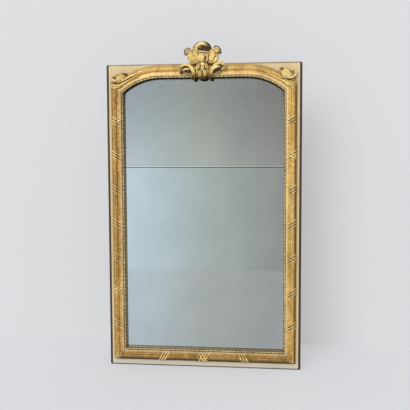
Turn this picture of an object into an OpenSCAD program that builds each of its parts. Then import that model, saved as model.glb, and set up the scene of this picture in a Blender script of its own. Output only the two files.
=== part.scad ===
// Pier mirror: a painted panel with an applied gilt moulding, an arched head, a carved
// crest and two old silvered plates one above the other. Millimetres, Z up, front towards -Y.
// X = 0 is mid-width, Y = 0 is mid-depth of the panel, and Z = 0 is the foot of the panel.
//
// Most modules work in an "elevation": x runs to the right, y runs up and z comes forward
// from mid-depth. upright() then stands the elevation up.

/* [Panel] */
// Width of the whole panel
panel_w = 1000; // [900:10:1100]
// Height of the panel, without the crest
panel_h = 1570; // [1450:10:1800]
// Depth of the rough frame behind the face boards
carcass_t = 34; // [32:1:45]
// Thickness of the painted face boards
face_t = 16; // [14:1:22]
// Thickness of the dark edge strips at the sides
side_lip = 12; // [10:1:14]
// Thickness of the dark edge strips at the top and the foot
end_lip = 6; // [4:1:8]
// Radius of the panel's four corners, seen from the front
corner_r = 10; // [4:1:10]
// Radius worn on the front arris of the edge strips
arris_r = 3; // [1:0.5:5]

/* [Gilt moulding] */
// Panel edge to moulding at the sides
side_margin = 26.5; // [20:0.5:40]
// Panel foot to moulding
base_margin = 33; // [20:1:60]
// Panel top to moulding
head_margin = 10; // [9:1:20]
// Width of the moulding, across all its members
moulding_w = 62; // [58:1:72]
// Radius of the big round member
torus_r = 13; // [11:0.5:14]
// Width of the square quirk at the outer edge
quirk_w = 4; // [2:0.5:5]
// Height of the square quirk
quirk_h = 10; // [6:0.5:12]
// Radius of the small round member
ovolo_r = 7.5; // [6:0.5:8]
// Height of the flat that the pearls sit on
seat_h = 8; // [5:0.5:10]
// Width of the flat that the pearls sit on
seat_w = 12; // [11:0.5:14]
// Thickness of the lip that runs in to the glass
lip_t = 5; // [4:0.5:8]
// Radius of the head's shoulders, at the sight edge
shoulder_r = 296; // [260:2:340]
// Length of the straight crown between the shoulders
crown_w = 438; // [390:2:480]
// How far the face's haunches reach down below the head's corners
haunch_foot = 20; // [10:1:60]

/* [Pearls] */
// Radius of one pearl
pearl_r = 5.2; // [4:0.1:5.4]
// Wanted distance from pearl to pearl
pearl_pitch = 19.8; // [14:0.2:26]
// Radius of the thread between the pearls
thread_r = 2.6; // [1.5:0.1:3]
// Radius of the reel midway between two pearls
reel_r = 3.8; // [3.2:0.1:4]
// Width of the reel
reel_w = 3; // [2:0.5:5]

/* [Ribbon ties] */
// Height of the lowest tie on a stile
tie_first = 228.5; // [150:0.5:300]
// Distance from tie to tie on a stile
tie_pitch = 175.4; // [120:0.2:260]
// Least distance from the top tie to the head's corner
tie_clear = 100; // [60:1:120]
// Distance from tie to tie along the bottom
tie_step = 210; // [120:1:260]
// Width of a ribbon
ribbon_w = 9; // [5:0.5:14]
// Thickness of a ribbon
ribbon_t = 2.4; // [1:0.1:3]
// Slant of a ribbon
ribbon_slant = 38; // [20:1:50]

/* [Mirror plates] */
// Thickness of the glass
glass_t = 5; // [3:0.5:6]
// How far the glass runs in behind the sight edge
glass_lap = 12; // [8:1:16]
// Height of the joint between the two plates
seam_z = 1043; // [800:1:1150]
// Gap between the two plates
seam_gap = 1; // [0.5:0.1:2]
// Arris ground on the edges that meet
glass_arris = 1; // [0.5:0.1:1.5]
// Room between the glass and the rough frame
glass_play = 2.5; // [2:0.5:4]

/* [Rough frame] */
// Thickness of the two inner rails
rail_t = 14; // [14:0.5:16]
// Room between the glass and the inner rails
rail_gap = 2; // [1:0.5:3]
// Height of the two inner rails
inner_rail_h = 70; // [60:1:100]
// Panel top to the hanging rail's upper edge
hanging_drop = 230; // [150:5:350]
// Panel foot to the middle rail's lower edge
middle_rail_z = 620; // [400:5:700]
// Length of the tenons
tenon_l = 36; // [20:1:44]
// Thickness of the tenons
tenon_t = 6; // [4:0.5:6]
// How far a tenon is set back from the rail's front
tenon_inset = 1; // [0.5:0.5:1]
// How far a tenon is set in from the rail's edges
tenon_shoulder = 10; // [6:1:14]
// Radius of the pegs that lock the tenons
peg_r = 4; // [2.5:0.5:5]
// Thickness of the back boards
board_t = 6; // [4:0.5:6]
// How far the back boards lap on to the frame
board_lap = 10; // [8:0.5:14]

/* [Crest] */
// Height of the crest's top above the panel
crest_rise = 107; // [100:1:120]
// Thickness of the board that carries the crest
crest_board_t = 22; // [18:1:26]
// Width of the tongue let into the panel
tongue_w = 120; // [90:2:130]
// Thickness of the tongue
tongue_t = 10; // [8:1:12]
// Least wood below the tongue
tongue_margin = 12; // [8:1:20]
// Radius of the hood's lip, at the middle of its thickness
hood_r = 30; // [26:1:32]
// Half the thickness of the hood's lip
hood_t = 12; // [8:1:13]
// How far the hood's straight foot hangs below its middle
hood_drop = 9; // [6:1:12]
// Mid-width to the middle of each ear
ear_x = 78; // [74:1:84]
// Height of the ears above the panel
ear_rise = 60; // [56:1:64]
// Radius of an ear's curl, at the middle of its thickness
ear_r = 10; // [8:1:12]
// Half the thickness of an ear's curl
ear_t = 7; // [5:0.5:8]
// Mid-width to the middle of each outer lobe of the shell
lobe_x = 45; // [40:1:48]
// Height of the lobes' middles above the panel
lobe_rise = 28; // [24:1:32]
// Half the width of a lobe
lobe_w = 27; // [24:1:30]
// Half the length of a lobe
lobe_h = 33; // [28:1:36]
// Half the thickness of a lobe
lobe_t = 26; // [18:1:28]
// Outward lean of the outer lobes
lobe_turn = 22; // [10:1:30]
// Radius of the scrolls, at the middle of their thickness
scroll_r = 34; // [30:1:36]
// Half the thickness of the scrolls
scroll_t = 11; // [9:0.5:12]
// Mid-width to the middle of each scroll
scroll_x = 75; // [70:1:80]
// Moulding's top to the middle of each scroll
scroll_drop = 30; // [26:1:34]
// How far the scrolls' middles stand in front of the moulding
scroll_lift = 6; // [4:0.5:9]
// How far the scrolls' legs hang over the glass
leg_reach = 14; // [6:1:20]
// Half the width of the boss between the scrolls
boss_r = 32; // [28:1:36]
// Half the height of the boss
boss_h = 35; // [34:1:42]
// Half the thickness of the boss
boss_t = 24; // [16:1:26]

/* [Hangers] */
// Rough frame's stile to each hanger
hanger_inset = 126; // [86:5:176]
// Hanging rail's upper edge to the rings' pivots
hanger_drop = 10; // [6:1:14]
// Half the thickness of the ring's wire
wire_r = 2; // [1.5:0.1:2.4]
// Radius of the ring's round end, at the middle of the wire
ring_r = 14; // [13:0.5:18]
// Length of the ring's straight sides
ring_side = 6; // [5:0.5:14]
// Room between the hanging ring and its plate
ring_gap = 0.6; // [0.4:0.1:1]
// Thickness of the hanger's plate
plate_t = 2; // [1.5:0.1:2.2]
// Width of the hanger's plate
plate_w = 22; // [18:1:24]
// Length of the hanger's plate
plate_l = 50; // [46:1:54]
// Foot of the hanger's plate to the middle of its lower screw
hole_edge = 8; // [6:0.5:9]
// Distance between the two screws of a hanger
hole_pitch = 12; // [8:1:14]
// Length of the narrow neck at the top of the hanger's plate
neck_l = 8; // [5:1:10]
// Thickness of the strap rolled round the wire
knuckle_t = 1.5; // [1:0.1:2]
// Length of the rolled strap
knuckle_w = 16; // [10:1:20]

/* [Screws and fits] */
// Radius of a screw's shank
screw_r = 1.8; // [1.2:0.1:2.2]
// Radius of a screw's head
head_r = 3.4; // [2.6:0.1:4]
// Height of a screw's head
head_h = 1.8; // [1:0.1:2]
// Length of a screw that holds the back boards
screw_l = 14; // [10:0.5:16]
// Length of a screw that holds a hanger
hanger_screw_l = 13; // [8:0.5:14]
// Board edge to its end screws
screw_inset = 22; // [15:1:40]
// Depth that the crest's screws are sunk at the back
counterbore = 7; // [4:1:10]
// Room all round a tenon, and between applied carving and its seat
fit = 0.2; // [0.1:0.05:0.3]
// Room round a screw's shank or a peg
hole_play = 0.1; // [0.05:0.05:0.2]
// Running room round the ring's wire
wire_play = 0.05; // [0.02:0.01:0.1]

/* [Hidden] */
$fn = 48;

gilt = "goldenrod";
cream = "wheat";
bare_wood = "burlywood";
dark_wood = "saddlebrown";
iron = "dimgray";
silvered = "lightsteelblue";

// Planes of the elevation, from the front to the back.
face_z = (carcass_t + face_t) / 2;
glass_front = face_z - face_t;
glass_back = glass_front - glass_t;
rail_front = glass_back - rail_gap;
rail_rear = rail_front - rail_t;
board_front = rail_rear + board_t;
back_z = -face_z;
tenon_front = rail_front - tenon_inset;
tenon_rear = tenon_front - tenon_t;

// Outlines of the moulding, from mid-width.
outer_x = panel_w / 2 - side_margin;
sight_x = outer_x - moulding_w;
outer_foot = base_margin;
sight_foot = outer_foot + moulding_w;
outer_head = panel_h - head_margin;
sight_head = outer_head - moulding_w;
crown_x = crown_w / 2;
arch_y = sight_head - shoulder_r;
outer_r = shoulder_r + moulding_w;
function arch_end(x, r) = arch_y + sqrt(r * r - pow(x - crown_x, 2));
sight_corner = arch_end(sight_x, shoulder_r);
outer_corner = arch_end(outer_x, outer_r);

// Members of the moulding, across it from the outer edge.
torus_u = quirk_w + torus_r;
torus_top = 2 * torus_r;
ovolo_u = moulding_w - seat_w - ovolo_r;
crest_seat = face_z + torus_top + fit;

// Panel pieces.
body_x = panel_w / 2 - side_lip;
body_top = panel_h - end_lip;
board_edge = lip_t + fit;
joint_y = sight_corner - haunch_foot;

// Glass and rough frame.
glass_x = sight_x + glass_lap;
glass_foot = sight_foot - glass_lap;
glass_head = sight_head + glass_lap;
stile_x = glass_x + glass_play;
rail_foot_y = glass_foot - glass_play;
rail_head_y = glass_head + glass_play;
lap_x = stile_x + board_lap;
hanging_y = panel_h - hanging_drop - inner_rail_h;
// Each row is one rail: its lower edge and its upper edge.
outer_rails = [[end_lip, rail_foot_y], [rail_head_y, body_top]];
inner_rails = [[middle_rail_z, middle_rail_z + inner_rail_h], [hanging_y, hanging_y + inner_rail_h]];
rails = concat(outer_rails, inner_rails);
// Each row is one bay between two rails: its lower edge and its upper edge.
bays = [[rail_foot_y, middle_rail_z], [middle_rail_z + inner_rail_h, hanging_y],
        [hanging_y + inner_rail_h, rail_head_y]];
// Each row is one back board, which laps on to the rails round its bay.
boards = [for (bay = bays) [bay[0] - board_lap, bay[1] + board_lap]];

// Pearls: the line that they sit on, and how many fit each stretch.
pearl_x = sight_x + seat_w / 2;
pearl_foot = sight_foot - seat_w / 2;
pearl_arc = shoulder_r + seat_w / 2;
pearl_corner = arch_end(pearl_x, pearl_arc);
pearl_head = sight_head + seat_w / 2;
corner_turn = acos((pearl_x - crown_x) / pearl_arc);
shoulder_turn = 90 - corner_turn;
shoulder_len = PI * pearl_arc * shoulder_turn / 180;
pearl_z = face_z + seat_h;
function steps(length) = max(2, round(length / pearl_pitch));

// Crest, from the panel's top edge.
tongue_foot = sight_head + board_edge + tongue_margin;
crest_front = face_z - tongue_t + crest_board_t;
crest_rest = panel_h + fit;
hood_y = panel_h + crest_rise - hood_r - hood_t;
hood_foot = hood_y - hood_drop;
ear_y = panel_h + ear_rise;
lobe_y = panel_h + lobe_rise;
scroll_y = outer_head - scroll_drop;
scroll_z = crest_seat + scroll_lift;
leg_foot = sight_head - leg_reach;
boss_y = outer_head - boss_h;
crest_screw_x = tongue_w / 4;
crest_screw_y = (tongue_foot + body_top) / 2;
crest_screw_l = carcass_t + face_t - counterbore - 1;

// Hangers, from the pivot of the ring. They stand on the hanging rail's rear face.
hanger_x = stile_x - hanger_inset;
hanger_y = hanging_y + inner_rail_h - hanger_drop;
pivot_h = plate_t + wire_r + ring_gap;
hanger_screw_y = [-plate_l + hole_edge, -plate_l + hole_edge + hole_pitch];

// Stands an elevation up, so that its z comes towards the viewer.
module upright() {
    rotate([90, 0, 0]) children();
}

// A box between two corners.
module block(low, high) {
    translate(low) cube(high - low);
}

// The right-hand one of a pair, from the left-hand one.
module other_side() {
    mirror([1, 0, 0]) children();
}

// ---- Rough frame ----

// A tenon at a rail's left end, grown all round by play.
module tenon(rail, play) {
    low = rail[0] + tenon_shoulder;
    high = rail[1] - tenon_shoulder;
    block([-stile_x - tenon_l - play, low - play, tenon_rear - play],
          [-stile_x + 1, high + play, tenon_front + play]);
}

// A peg through a tenon, at the left.
module peg(rail, radius) {
    translate([-stile_x - tenon_l / 2, (rail[0] + rail[1]) / 2, back_z])
        cylinder(r = radius, h = carcass_t);
}

module frame_stile() {
    difference() {
        block([-body_x, end_lip, back_z], [-stile_x, body_top, glass_front]);
        block([-lap_x, rail_foot_y - board_lap, back_z - 1],
              [-stile_x + 1, rail_head_y + board_lap, board_front]);
        for (rail = rails) {
            tenon(rail, fit);
            peg(rail, peg_r + hole_play);
        }
        board_screw_holes();
    }
}

module frame_stile_left() {
    color(bare_wood) upright() frame_stile();
}

module frame_stile_right() {
    color(bare_wood) upright() other_side() frame_stile();
}

// Both ends of a rail are alike.
module both_tenons(rail) {
    for (side = [0, 1]) mirror([side, 0, 0]) difference() {
        tenon(rail, 0);
        peg(rail, peg_r + hole_play);
    }
}

module outer_rail(rail) {
    difference() {
        union() {
            block([-stile_x, rail[0], back_z], [stile_x, rail[1], glass_front]);
            both_tenons(rail);
        }
        block([-lap_x, rail_foot_y - board_lap, back_z - 1],
              [lap_x, rail_head_y + board_lap, board_front]);
    }
}

module inner_rail(rail) {
    block([-stile_x, rail[0], board_front], [stile_x, rail[1], rail_front]);
    block([-lap_x + fit, rail[0] + board_lap, rail_rear],
          [lap_x - fit, rail[1] - board_lap, board_front]);
    both_tenons(rail);
}

module frame_rail_top() {
    color(bare_wood) upright() difference() {
        outer_rail(outer_rails[1]);
        crest_screw_holes();
    }
}

module frame_rail_bottom() {
    color(bare_wood) upright() outer_rail(outer_rails[0]);
}

module frame_rail_middle() {
    color(bare_wood) upright() inner_rail(inner_rails[0]);
}

module frame_rail_hanging() {
    color(bare_wood) upright() difference() {
        union() inner_rail(inner_rails[1]);
        for (side = [-1, 1]) hanger_place(side)
            for (y = hanger_screw_y) translate([0, y, plate_t - hanger_screw_l - hole_play])
                cylinder(r = screw_r + hole_play, h = hanger_screw_l);
    }
}

module tenon_pegs() {
    color(dark_wood) upright()
        for (rail = rails, side = [0, 1]) mirror([side, 0, 0]) peg(rail, peg_r);
}

// ---- Back boards ----

module back_board(span) {
    color(bare_wood) upright() difference() {
        block([-lap_x + fit, span[0] + fit, rail_rear], [lap_x - fit, span[1] - fit, board_front]);
        board_screw_holes();
    }
}

module back_board_lower() {
    back_board(boards[0]);
}

module back_board_middle() {
    back_board(boards[1]);
}

module back_board_upper() {
    back_board(boards[2]);
}

// Puts its children at each back board screw: near the ends and the middle of the
// boards' side edges, on the lap. They point forward from the boards' rear face.
module at_board_screws() {
    for (span = boards, side = [-1, 1], share = [0, 0.5, 1])
        translate([side * (stile_x + board_lap / 2),
                   span[0] + screw_inset + share * (span[1] - span[0] - 2 * screw_inset),
                   rail_rear])
            children();
}

module board_screw_holes() {
    at_board_screws() translate([0, 0, -1])
        cylinder(r = screw_r + hole_play, h = screw_l + 1 + hole_play);
}

// A round-headed wood screw that points along +z, with its head behind z = 0.
module wood_screw(length) {
    slot_w = 0.8;
    difference() {
        union() {
            cylinder(r = screw_r, h = length);
            translate([0, 0, -head_h]) cylinder(r1 = head_r * 0.7, r2 = head_r, h = head_h);
        }
        block([-head_r, -slot_w / 2, -head_h - 1], [head_r, slot_w / 2, -head_h / 2]);
    }
}

module back_board_screws() {
    color(iron) upright() at_board_screws() wood_screw(screw_l);
}

// ---- Painted face ----

module face_stile() {
    block([-body_x, end_lip, glass_front], [-sight_x - board_edge, joint_y, face_z]);
}

module face_stile_left() {
    color(cream) upright() face_stile();
}

module face_stile_right() {
    color(cream) upright() other_side() face_stile();
}

module face_rail_bottom() {
    x = sight_x + board_edge;
    color(cream) upright()
        block([-x, end_lip, glass_front], [x, sight_foot - board_edge, face_z]);
}

module face_crown() {
    color(cream) upright() difference() {
        block([-crown_x, sight_head + board_edge, glass_front], [crown_x, body_top, face_z]);
        tongue(fit);
        crest_screw_holes();
    }
}

module face_haunch() {
    difference() {
        block([-body_x, joint_y, glass_front], [-crown_x, body_top, face_z]);
        translate([0, 0, glass_front - 1]) linear_extrude(face_t + 2) intersection() {
            translate([-crown_x, arch_y]) circle(shoulder_r + board_edge, $fn = 96);
            translate([-sight_x - board_edge, arch_y]) square([sight_x, 2 * shoulder_r]);
        }
    }
}

module face_haunch_left() {
    color(cream) upright() face_haunch();
}

module face_haunch_right() {
    color(cream) upright() other_side() face_haunch();
}

// ---- Dark edge strips ----

// The panel's outline with its round corners, as deep as the panel.
module panel_outline() {
    x = panel_w / 2 - corner_r;
    y = panel_h - corner_r;
    translate([0, 0, back_z]) linear_extrude(carcass_t + face_t) union() {
        translate([-x, 0]) square([2 * x, panel_h]);
        translate([-panel_w / 2, corner_r]) square([panel_w, panel_h - 2 * corner_r]);
        for (corner = [[-x, corner_r], [x, corner_r], [-x, y], [x, y]])
            translate(corner) circle(corner_r);
    }
}

// Section of a strip: x from its bare face, y from the back. The front arris is round.
module strip_section(thickness) {
    depth = carcass_t + face_t;
    square([thickness, depth - arris_r]);
    translate([arris_r, 0]) square([thickness - arris_r, depth]);
    translate([arris_r, depth - arris_r]) circle(arris_r);
}

module side_strip() {
    intersection() {
        translate([-panel_w / 2, panel_h, back_z]) rotate([90, 0, 0])
            linear_extrude(panel_h) strip_section(side_lip);
        panel_outline();
    }
}

module edge_strip_left() {
    color(dark_wood) upright() side_strip();
}

module edge_strip_right() {
    color(dark_wood) upright() other_side() side_strip();
}

// A strip along the foot. The one along the top is its mirror image.
module end_strip() {
    translate([-body_x, 0, back_z]) rotate([90, 0, 90])
        linear_extrude(2 * body_x) strip_section(end_lip);
}

module edge_strip_bottom() {
    color(dark_wood) upright() end_strip();
}

module edge_strip_top() {
    color(dark_wood) upright() difference() {
        translate([0, panel_h, 0]) mirror([0, 1, 0]) end_strip();
        tongue(fit);
    }
}

// ---- Gilt moulding ----

// Section of the moulding: x across from the outer edge, y out from the face boards.
module moulding_section() {
    square([moulding_w, seat_h]);
    square([quirk_w, quirk_h]);
    translate([moulding_w - lip_t, -face_t]) square([lip_t, face_t + seat_h]);
    translate([torus_u, torus_r]) circle(torus_r);
    translate([ovolo_u, ovolo_r]) circle(ovolo_r);
}

// Cuts a length of moulding to its mitred outline, seen from the front.
module mitred(outline) {
    intersection() {
        children();
        translate([0, 0, glass_front - 1]) linear_extrude(face_t + torus_top + 2) polygon(outline);
    }
}

module stile_moulding() {
    mitred([[-outer_x, outer_foot], [-sight_x, sight_foot],
            [-sight_x, sight_corner], [-outer_x, outer_corner]])
        translate([-outer_x, outer_corner + 1, face_z]) rotate([90, 0, 0])
            linear_extrude(outer_corner + 1 - outer_foot) moulding_section();
}

module moulding_left() {
    color(gilt) upright() stile_moulding();
}

module moulding_right() {
    color(gilt) upright() other_side() stile_moulding();
}

module moulding_bottom() {
    color(gilt) upright()
        mitred([[-outer_x, outer_foot], [outer_x, outer_foot],
                [sight_x, sight_foot], [-sight_x, sight_foot]])
            translate([-outer_x, outer_foot, face_z]) rotate([90, 0, 90])
                linear_extrude(2 * outer_x) moulding_section();
}

module moulding_crown() {
    color(gilt) upright() translate([-crown_x, outer_head, face_z]) rotate([90, 0, 90])
        linear_extrude(crown_w) mirror([1, 0]) moulding_section();
}

module shoulder_moulding() {
    slope = (outer_corner - sight_corner) / moulding_w;
    reach = 60;
    mitred([[-crown_x, arch_y], [-crown_x, outer_head + 1],
            [-outer_x - reach, outer_head + 1],
            [-outer_x - reach, outer_corner + reach * slope], [-sight_x, sight_corner]])
        translate([-crown_x, arch_y, face_z]) rotate([0, 0, 90])
            rotate_extrude(angle = 75, $fn = 144)
                translate([outer_r, 0]) mirror([1, 0]) moulding_section();
}

module moulding_shoulder_left() {
    color(gilt) upright() shoulder_moulding();
}

module moulding_shoulder_right() {
    color(gilt) upright() other_side() shoulder_moulding();
}

// ---- Pearls ----

// A straight string, half round with a flat back, along +y from the origin. It holds the
// pearls from number first to number last, and the thread runs from start to end.
module pearl_string(pitch, first, last, start, end) {
    rotate([-90, 0, 0]) mirror([0, 1, 0]) rotate_extrude(angle = 180) intersection() {
        union() {
            translate([0, start]) square([thread_r, end - start]);
            for (i = [first : last]) translate([0, i * pitch]) circle(pearl_r, $fn = 24);
            for (i = [first : last - 1]) translate([0, (i + 0.5) * pitch - reel_w / 2])
                square([reel_r, reel_w]);
        }
        translate([0, start - pearl_r]) square([pearl_r, end - start + 2 * pearl_r]);
    }
}

module stile_pearls() {
    length = pearl_corner - pearl_foot;
    count = steps(length);
    gap = pearl_r + fit;
    translate([-pearl_x, pearl_foot, pearl_z])
        pearl_string(length / count, 1, count - 1, gap, length - gap);
}

module pearls_left() {
    color(gilt) upright() stile_pearls();
}

module pearls_right() {
    color(gilt) upright() other_side() stile_pearls();
}

module pearls_bottom() {
    count = steps(2 * pearl_x);
    color(gilt) upright() translate([pearl_x, pearl_foot, pearl_z]) rotate([0, 0, 90])
        pearl_string(2 * pearl_x / count, 0, count, 0, 2 * pearl_x);
}

module pearls_crown() {
    count = steps(crown_w);
    color(gilt) upright() translate([crown_x, pearl_head, pearl_z]) rotate([0, 0, 90])
        pearl_string(crown_w / count, 0, count, 0, crown_w);
}

module half_pearl(radius) {
    intersection() {
        sphere(radius, $fn = 24);
        block([-radius, -radius, 0], [radius, radius, radius]);
    }
}

module shoulder_pearls() {
    count = steps(shoulder_len);
    turn = shoulder_turn / count;
    end_turn = (pearl_r + fit) / pearl_arc * 180 / PI;
    translate([-crown_x, arch_y, pearl_z]) {
        rotate([0, 0, 90 + end_turn]) rotate_extrude(angle = shoulder_turn - end_turn, $fn = 144)
            translate([pearl_arc, 0]) intersection() {
                circle(thread_r, $fn = 24);
                translate([-thread_r, 0]) square([2 * thread_r, thread_r]);
            }
        for (i = [1 : count]) rotate([0, 0, 90 + i * turn]) translate([pearl_arc, 0, 0])
            half_pearl(pearl_r);
        for (i = [1 : count - 1]) rotate([0, 0, 90 + (i + 0.5) * turn]) translate([pearl_arc, 0, 0])
            half_pearl(reel_r);
    }
}

module pearls_shoulder_left() {
    color(gilt) upright() shoulder_pearls();
}

module pearls_shoulder_right() {
    color(gilt) upright() other_side() shoulder_pearls();
}

// ---- Ribbon ties ----

// Half a ring round the torus, clear of the quirk beside it.
module ribbon_section() {
    intersection() {
        difference() {
            circle(torus_r + fit + ribbon_t);
            circle(torus_r + fit);
        }
        translate([-2 * torus_r, quirk_h - torus_r + fit]) square(4 * torus_r);
    }
}

// Two ribbons crossed over the torus, which runs along y through the origin.
module ribbon_tie(slants) {
    span = 6 * torus_r;
    for (slant = slants) intersection() {
        translate([0, span / 2, 0]) rotate([90, 0, 0]) linear_extrude(span) ribbon_section();
        rotate([0, 0, slant])
            translate([-2 * span, -ribbon_w / 2, -span]) cube([4 * span, ribbon_w, 2 * span]);
    }
}

module stile_ties() {
    for (y = [tie_first : tie_pitch : sight_corner - tie_clear])
        translate([-outer_x + torus_u, y, face_z + torus_r])
            ribbon_tie([-ribbon_slant, ribbon_slant]);
}

module ribbon_ties_left() {
    color(gilt) upright() stile_ties();
}

module ribbon_ties_right() {
    color(gilt) upright() other_side() stile_ties();
}

module ribbon_ties_bottom() {
    color(gilt) upright() for (step = [-1, 0, 1])
        translate([step * tie_step, outer_foot + torus_u, face_z + torus_r]) rotate([0, 0, 90])
            ribbon_tie([-ribbon_slant, ribbon_slant]);
}

// ---- Carved leaves ----

// The space under the top of the moulding, at the left, that carving must leave free.
module moulding_blank() {
    translate([0, 0, glass_front]) linear_extrude(face_t + torus_top + fit) difference() {
        union() {
            translate([-outer_x - fit, 0]) square([moulding_w + 2 * fit, outer_corner + fit]);
            translate([-outer_x - fit, 0]) square([outer_x, sight_foot]);
            intersection() {
                translate([-crown_x, arch_y]) circle(outer_r + fit, $fn = 96);
                translate([-outer_x - fit, arch_y]) square([outer_x, outer_r + fit + 1]);
            }
        }
        translate([-sight_x, sight_foot]) square([sight_x, arch_y - sight_foot]);
    }
}

// Five leaflets that fan out from the mitre over the corner of the panel, on a round body.
// Each row is one leaflet: its direction, and its reach from the root.
module corner_spray() {
    leaflets = [[56, 96], [74, 96], [92, 92], [110, 88], [130, 66]];
    half_w = 13;
    half_h = 11;
    droop = 10;
    body_r = 30;
    difference() {
        translate([-outer_x + 42, outer_corner - 4, face_z + torus_top]) {
            for (leaflet = leaflets) rotate([0, 0, leaflet[0]])
                translate([leaflet[1] / 2, 0, 0]) rotate([0, droop, 0])
                    scale([leaflet[1] / 2, half_w, half_h]) sphere(1, $fn = 32);
            translate([-2, 50, -torus_top]) cylinder(r = body_r, h = torus_top - 4);
        }
        moulding_blank();
        block([-panel_w, 0, back_z], [0, 2 * panel_h, face_z]);
    }
}

module corner_spray_left() {
    color(gilt) upright() corner_spray();
}

module corner_spray_right() {
    color(gilt) upright() other_side() corner_spray();
}

// A small leaf over the mitre at the foot: three leaflets, each given as its direction
// and its reach from the root.
module foot_leaf() {
    in_front_of(crest_seat)
        translate([-outer_x + torus_u - 6, outer_foot + torus_u - 6, crest_seat - 1])
            for (leaflet = [[16, 36], [45, 40], [74, 36]]) rotate([0, 0, leaflet[0]])
                translate([leaflet[1] / 2, 0, 0]) scale([leaflet[1] / 2, 8, 7])
                    sphere(1, $fn = 32);
}

module foot_leaf_left() {
    color(gilt) upright() foot_leaf();
}

module foot_leaf_right() {
    color(gilt) upright() other_side() foot_leaf();
}

// ---- Crest ----

// The tongue that carries the crest, let into the front of the panel.
module tongue(play) {
    block([-tongue_w / 2 - play, tongue_foot - play, face_z - tongue_t - play],
          [tongue_w / 2 + play, crest_rest + 1, face_z + 1]);
}

module crest_screw_holes() {
    for (side = [-1, 1]) translate([side * crest_screw_x, crest_screw_y, back_z]) {
        translate([0, 0, -1]) cylinder(r = head_r + 2, h = counterbore + 1);
        cylinder(r = screw_r + hole_play, h = counterbore + crest_screw_l + hole_play);
    }
}

// Outline of the crest's board above the panel: round at the hood, ears and lobes.
module crest_outline() {
    intersection() {
        union() {
            translate([0, hood_y]) circle(hood_r + hood_t - 3);
            for (side = [-1, 1]) {
                translate([side * (ear_x - 6), ear_y - 4]) circle(ear_r + 3);
                translate([side * lobe_x, lobe_y + 2]) circle(lobe_w);
            }
            translate([-hood_r, crest_rest]) square([2 * hood_r, hood_y - crest_rest]);
            translate([-lobe_x, crest_rest]) square([2 * lobe_x, lobe_y - crest_rest]);
        }
        translate([-panel_w / 2, crest_rest]) square([panel_w, 2 * crest_rise]);
    }
}

module crest_board() {
    color(bare_wood) upright() difference() {
        union() {
            block([-tongue_w / 2, tongue_foot, face_z - tongue_t],
                  [tongue_w / 2, crest_rest + 1, face_z]);
            translate([0, 0, face_z - tongue_t]) linear_extrude(crest_board_t) crest_outline();
        }
        crest_screw_holes();
    }
}

module crest_screws() {
    color(iron) upright() for (side = [-1, 1])
        translate([side * crest_screw_x, crest_screw_y, back_z + counterbore])
            wood_screw(crest_screw_l);
}

// Everything in front of a plane.
module in_front_of(z) {
    intersection() {
        children();
        block([-panel_w / 2, 0, z], [panel_w / 2, 2 * panel_h, z + 100]);
    }
}

// A ring segment in the elevation, round its own middle.
module bent_bar(radius, thickness, from, turn) {
    rotate([0, 0, from]) rotate_extrude(angle = turn)
        translate([radius, 0]) circle(thickness, $fn = 24);
}

// A curled-over lip round a hollow, with a floor behind it.
module crest_hood() {
    color(gilt) upright() in_front_of(crest_front + fit) {
        translate([0, hood_y, crest_front + 8]) bent_bar(hood_r, hood_t, -12, 204);
        intersection() {
            translate([0, hood_y, crest_front]) cylinder(r = hood_r, h = 5);
            block([-hood_r, hood_foot, 0], [hood_r, hood_y + hood_r, crest_front + 5]);
        }
    }
}

module crest_ear() {
    in_front_of(crest_front + fit)
        translate([-ear_x, ear_y, crest_front + 5]) {
            bent_bar(ear_r, ear_t, 20, 230);
            for (end = [20, 250])
                translate([ear_r * cos(end), ear_r * sin(end), 0]) sphere(ear_t + 1, $fn = 24);
        }
}

module crest_ear_left() {
    color(gilt) upright() crest_ear();
}

module crest_ear_right() {
    color(gilt) upright() other_side() crest_ear();
}

// Space taken by the hood, the ears and the scrolls, which the shell is cut round.
module shell_neighbours() {
    translate([0, 0, face_z]) {
        block([-hood_r - hood_t - fit, hood_foot - fit, 0], [hood_r + hood_t + fit, 2 * panel_h, 100]);
        for (side = [-1, 1]) {
            translate([side * ear_x, ear_y, 0]) cylinder(r = ear_r + ear_t + fit, h = 100);
            translate([side * scroll_x, scroll_y, 0])
                cylinder(r = scroll_r + scroll_t + 2 * fit, h = 100);
        }
    }
}

// Three fanned lobes, each turned about its own middle and drawn out upwards.
module crest_shell() {
    color(gilt) upright() difference() {
        in_front_of(crest_front + fit) {
            for (side = [-1, 0, 1]) translate([side * lobe_x, lobe_y, crest_front + 2])
                rotate([0, 0, -side * lobe_turn]) scale([lobe_w, lobe_h, lobe_t]) sphere(1, $fn = 32);
            translate([0, lobe_y, crest_front]) cylinder(r = lobe_w + 4, h = 14);
        }
        shell_neighbours();
    }
}

// A scroll: over the top from the curled outer end, then down to the sight edge.
module crest_scroll() {
    color(gilt) upright() in_front_of(crest_seat)
        translate([-scroll_x, scroll_y, scroll_z]) {
            bent_bar(scroll_r, scroll_t, 0, 200);
            translate([scroll_r, 0, 0]) rotate([90, 0, 0])
                cylinder(r = scroll_t, h = scroll_y - leg_foot - scroll_t);
            translate([scroll_r, leg_foot + scroll_t - scroll_y, 0]) sphere(scroll_t);
            translate([scroll_r * cos(200), scroll_r * sin(200), 0]) sphere(scroll_t + 1);
        }
}

module crest_scroll_left() {
    crest_scroll();
}

module crest_scroll_right() {
    other_side() crest_scroll();
}

module crest_boss() {
    clear_x = scroll_x - scroll_r - scroll_t - fit;
    color(gilt) upright() intersection() {
        translate([0, boss_y, crest_seat]) scale([boss_r, boss_h, boss_t]) sphere(1, $fn = 32);
        block([-clear_x, 0, crest_seat], [clear_x, outer_head, crest_seat + 100]);
    }
}

// ---- Mirror plates ----

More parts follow.
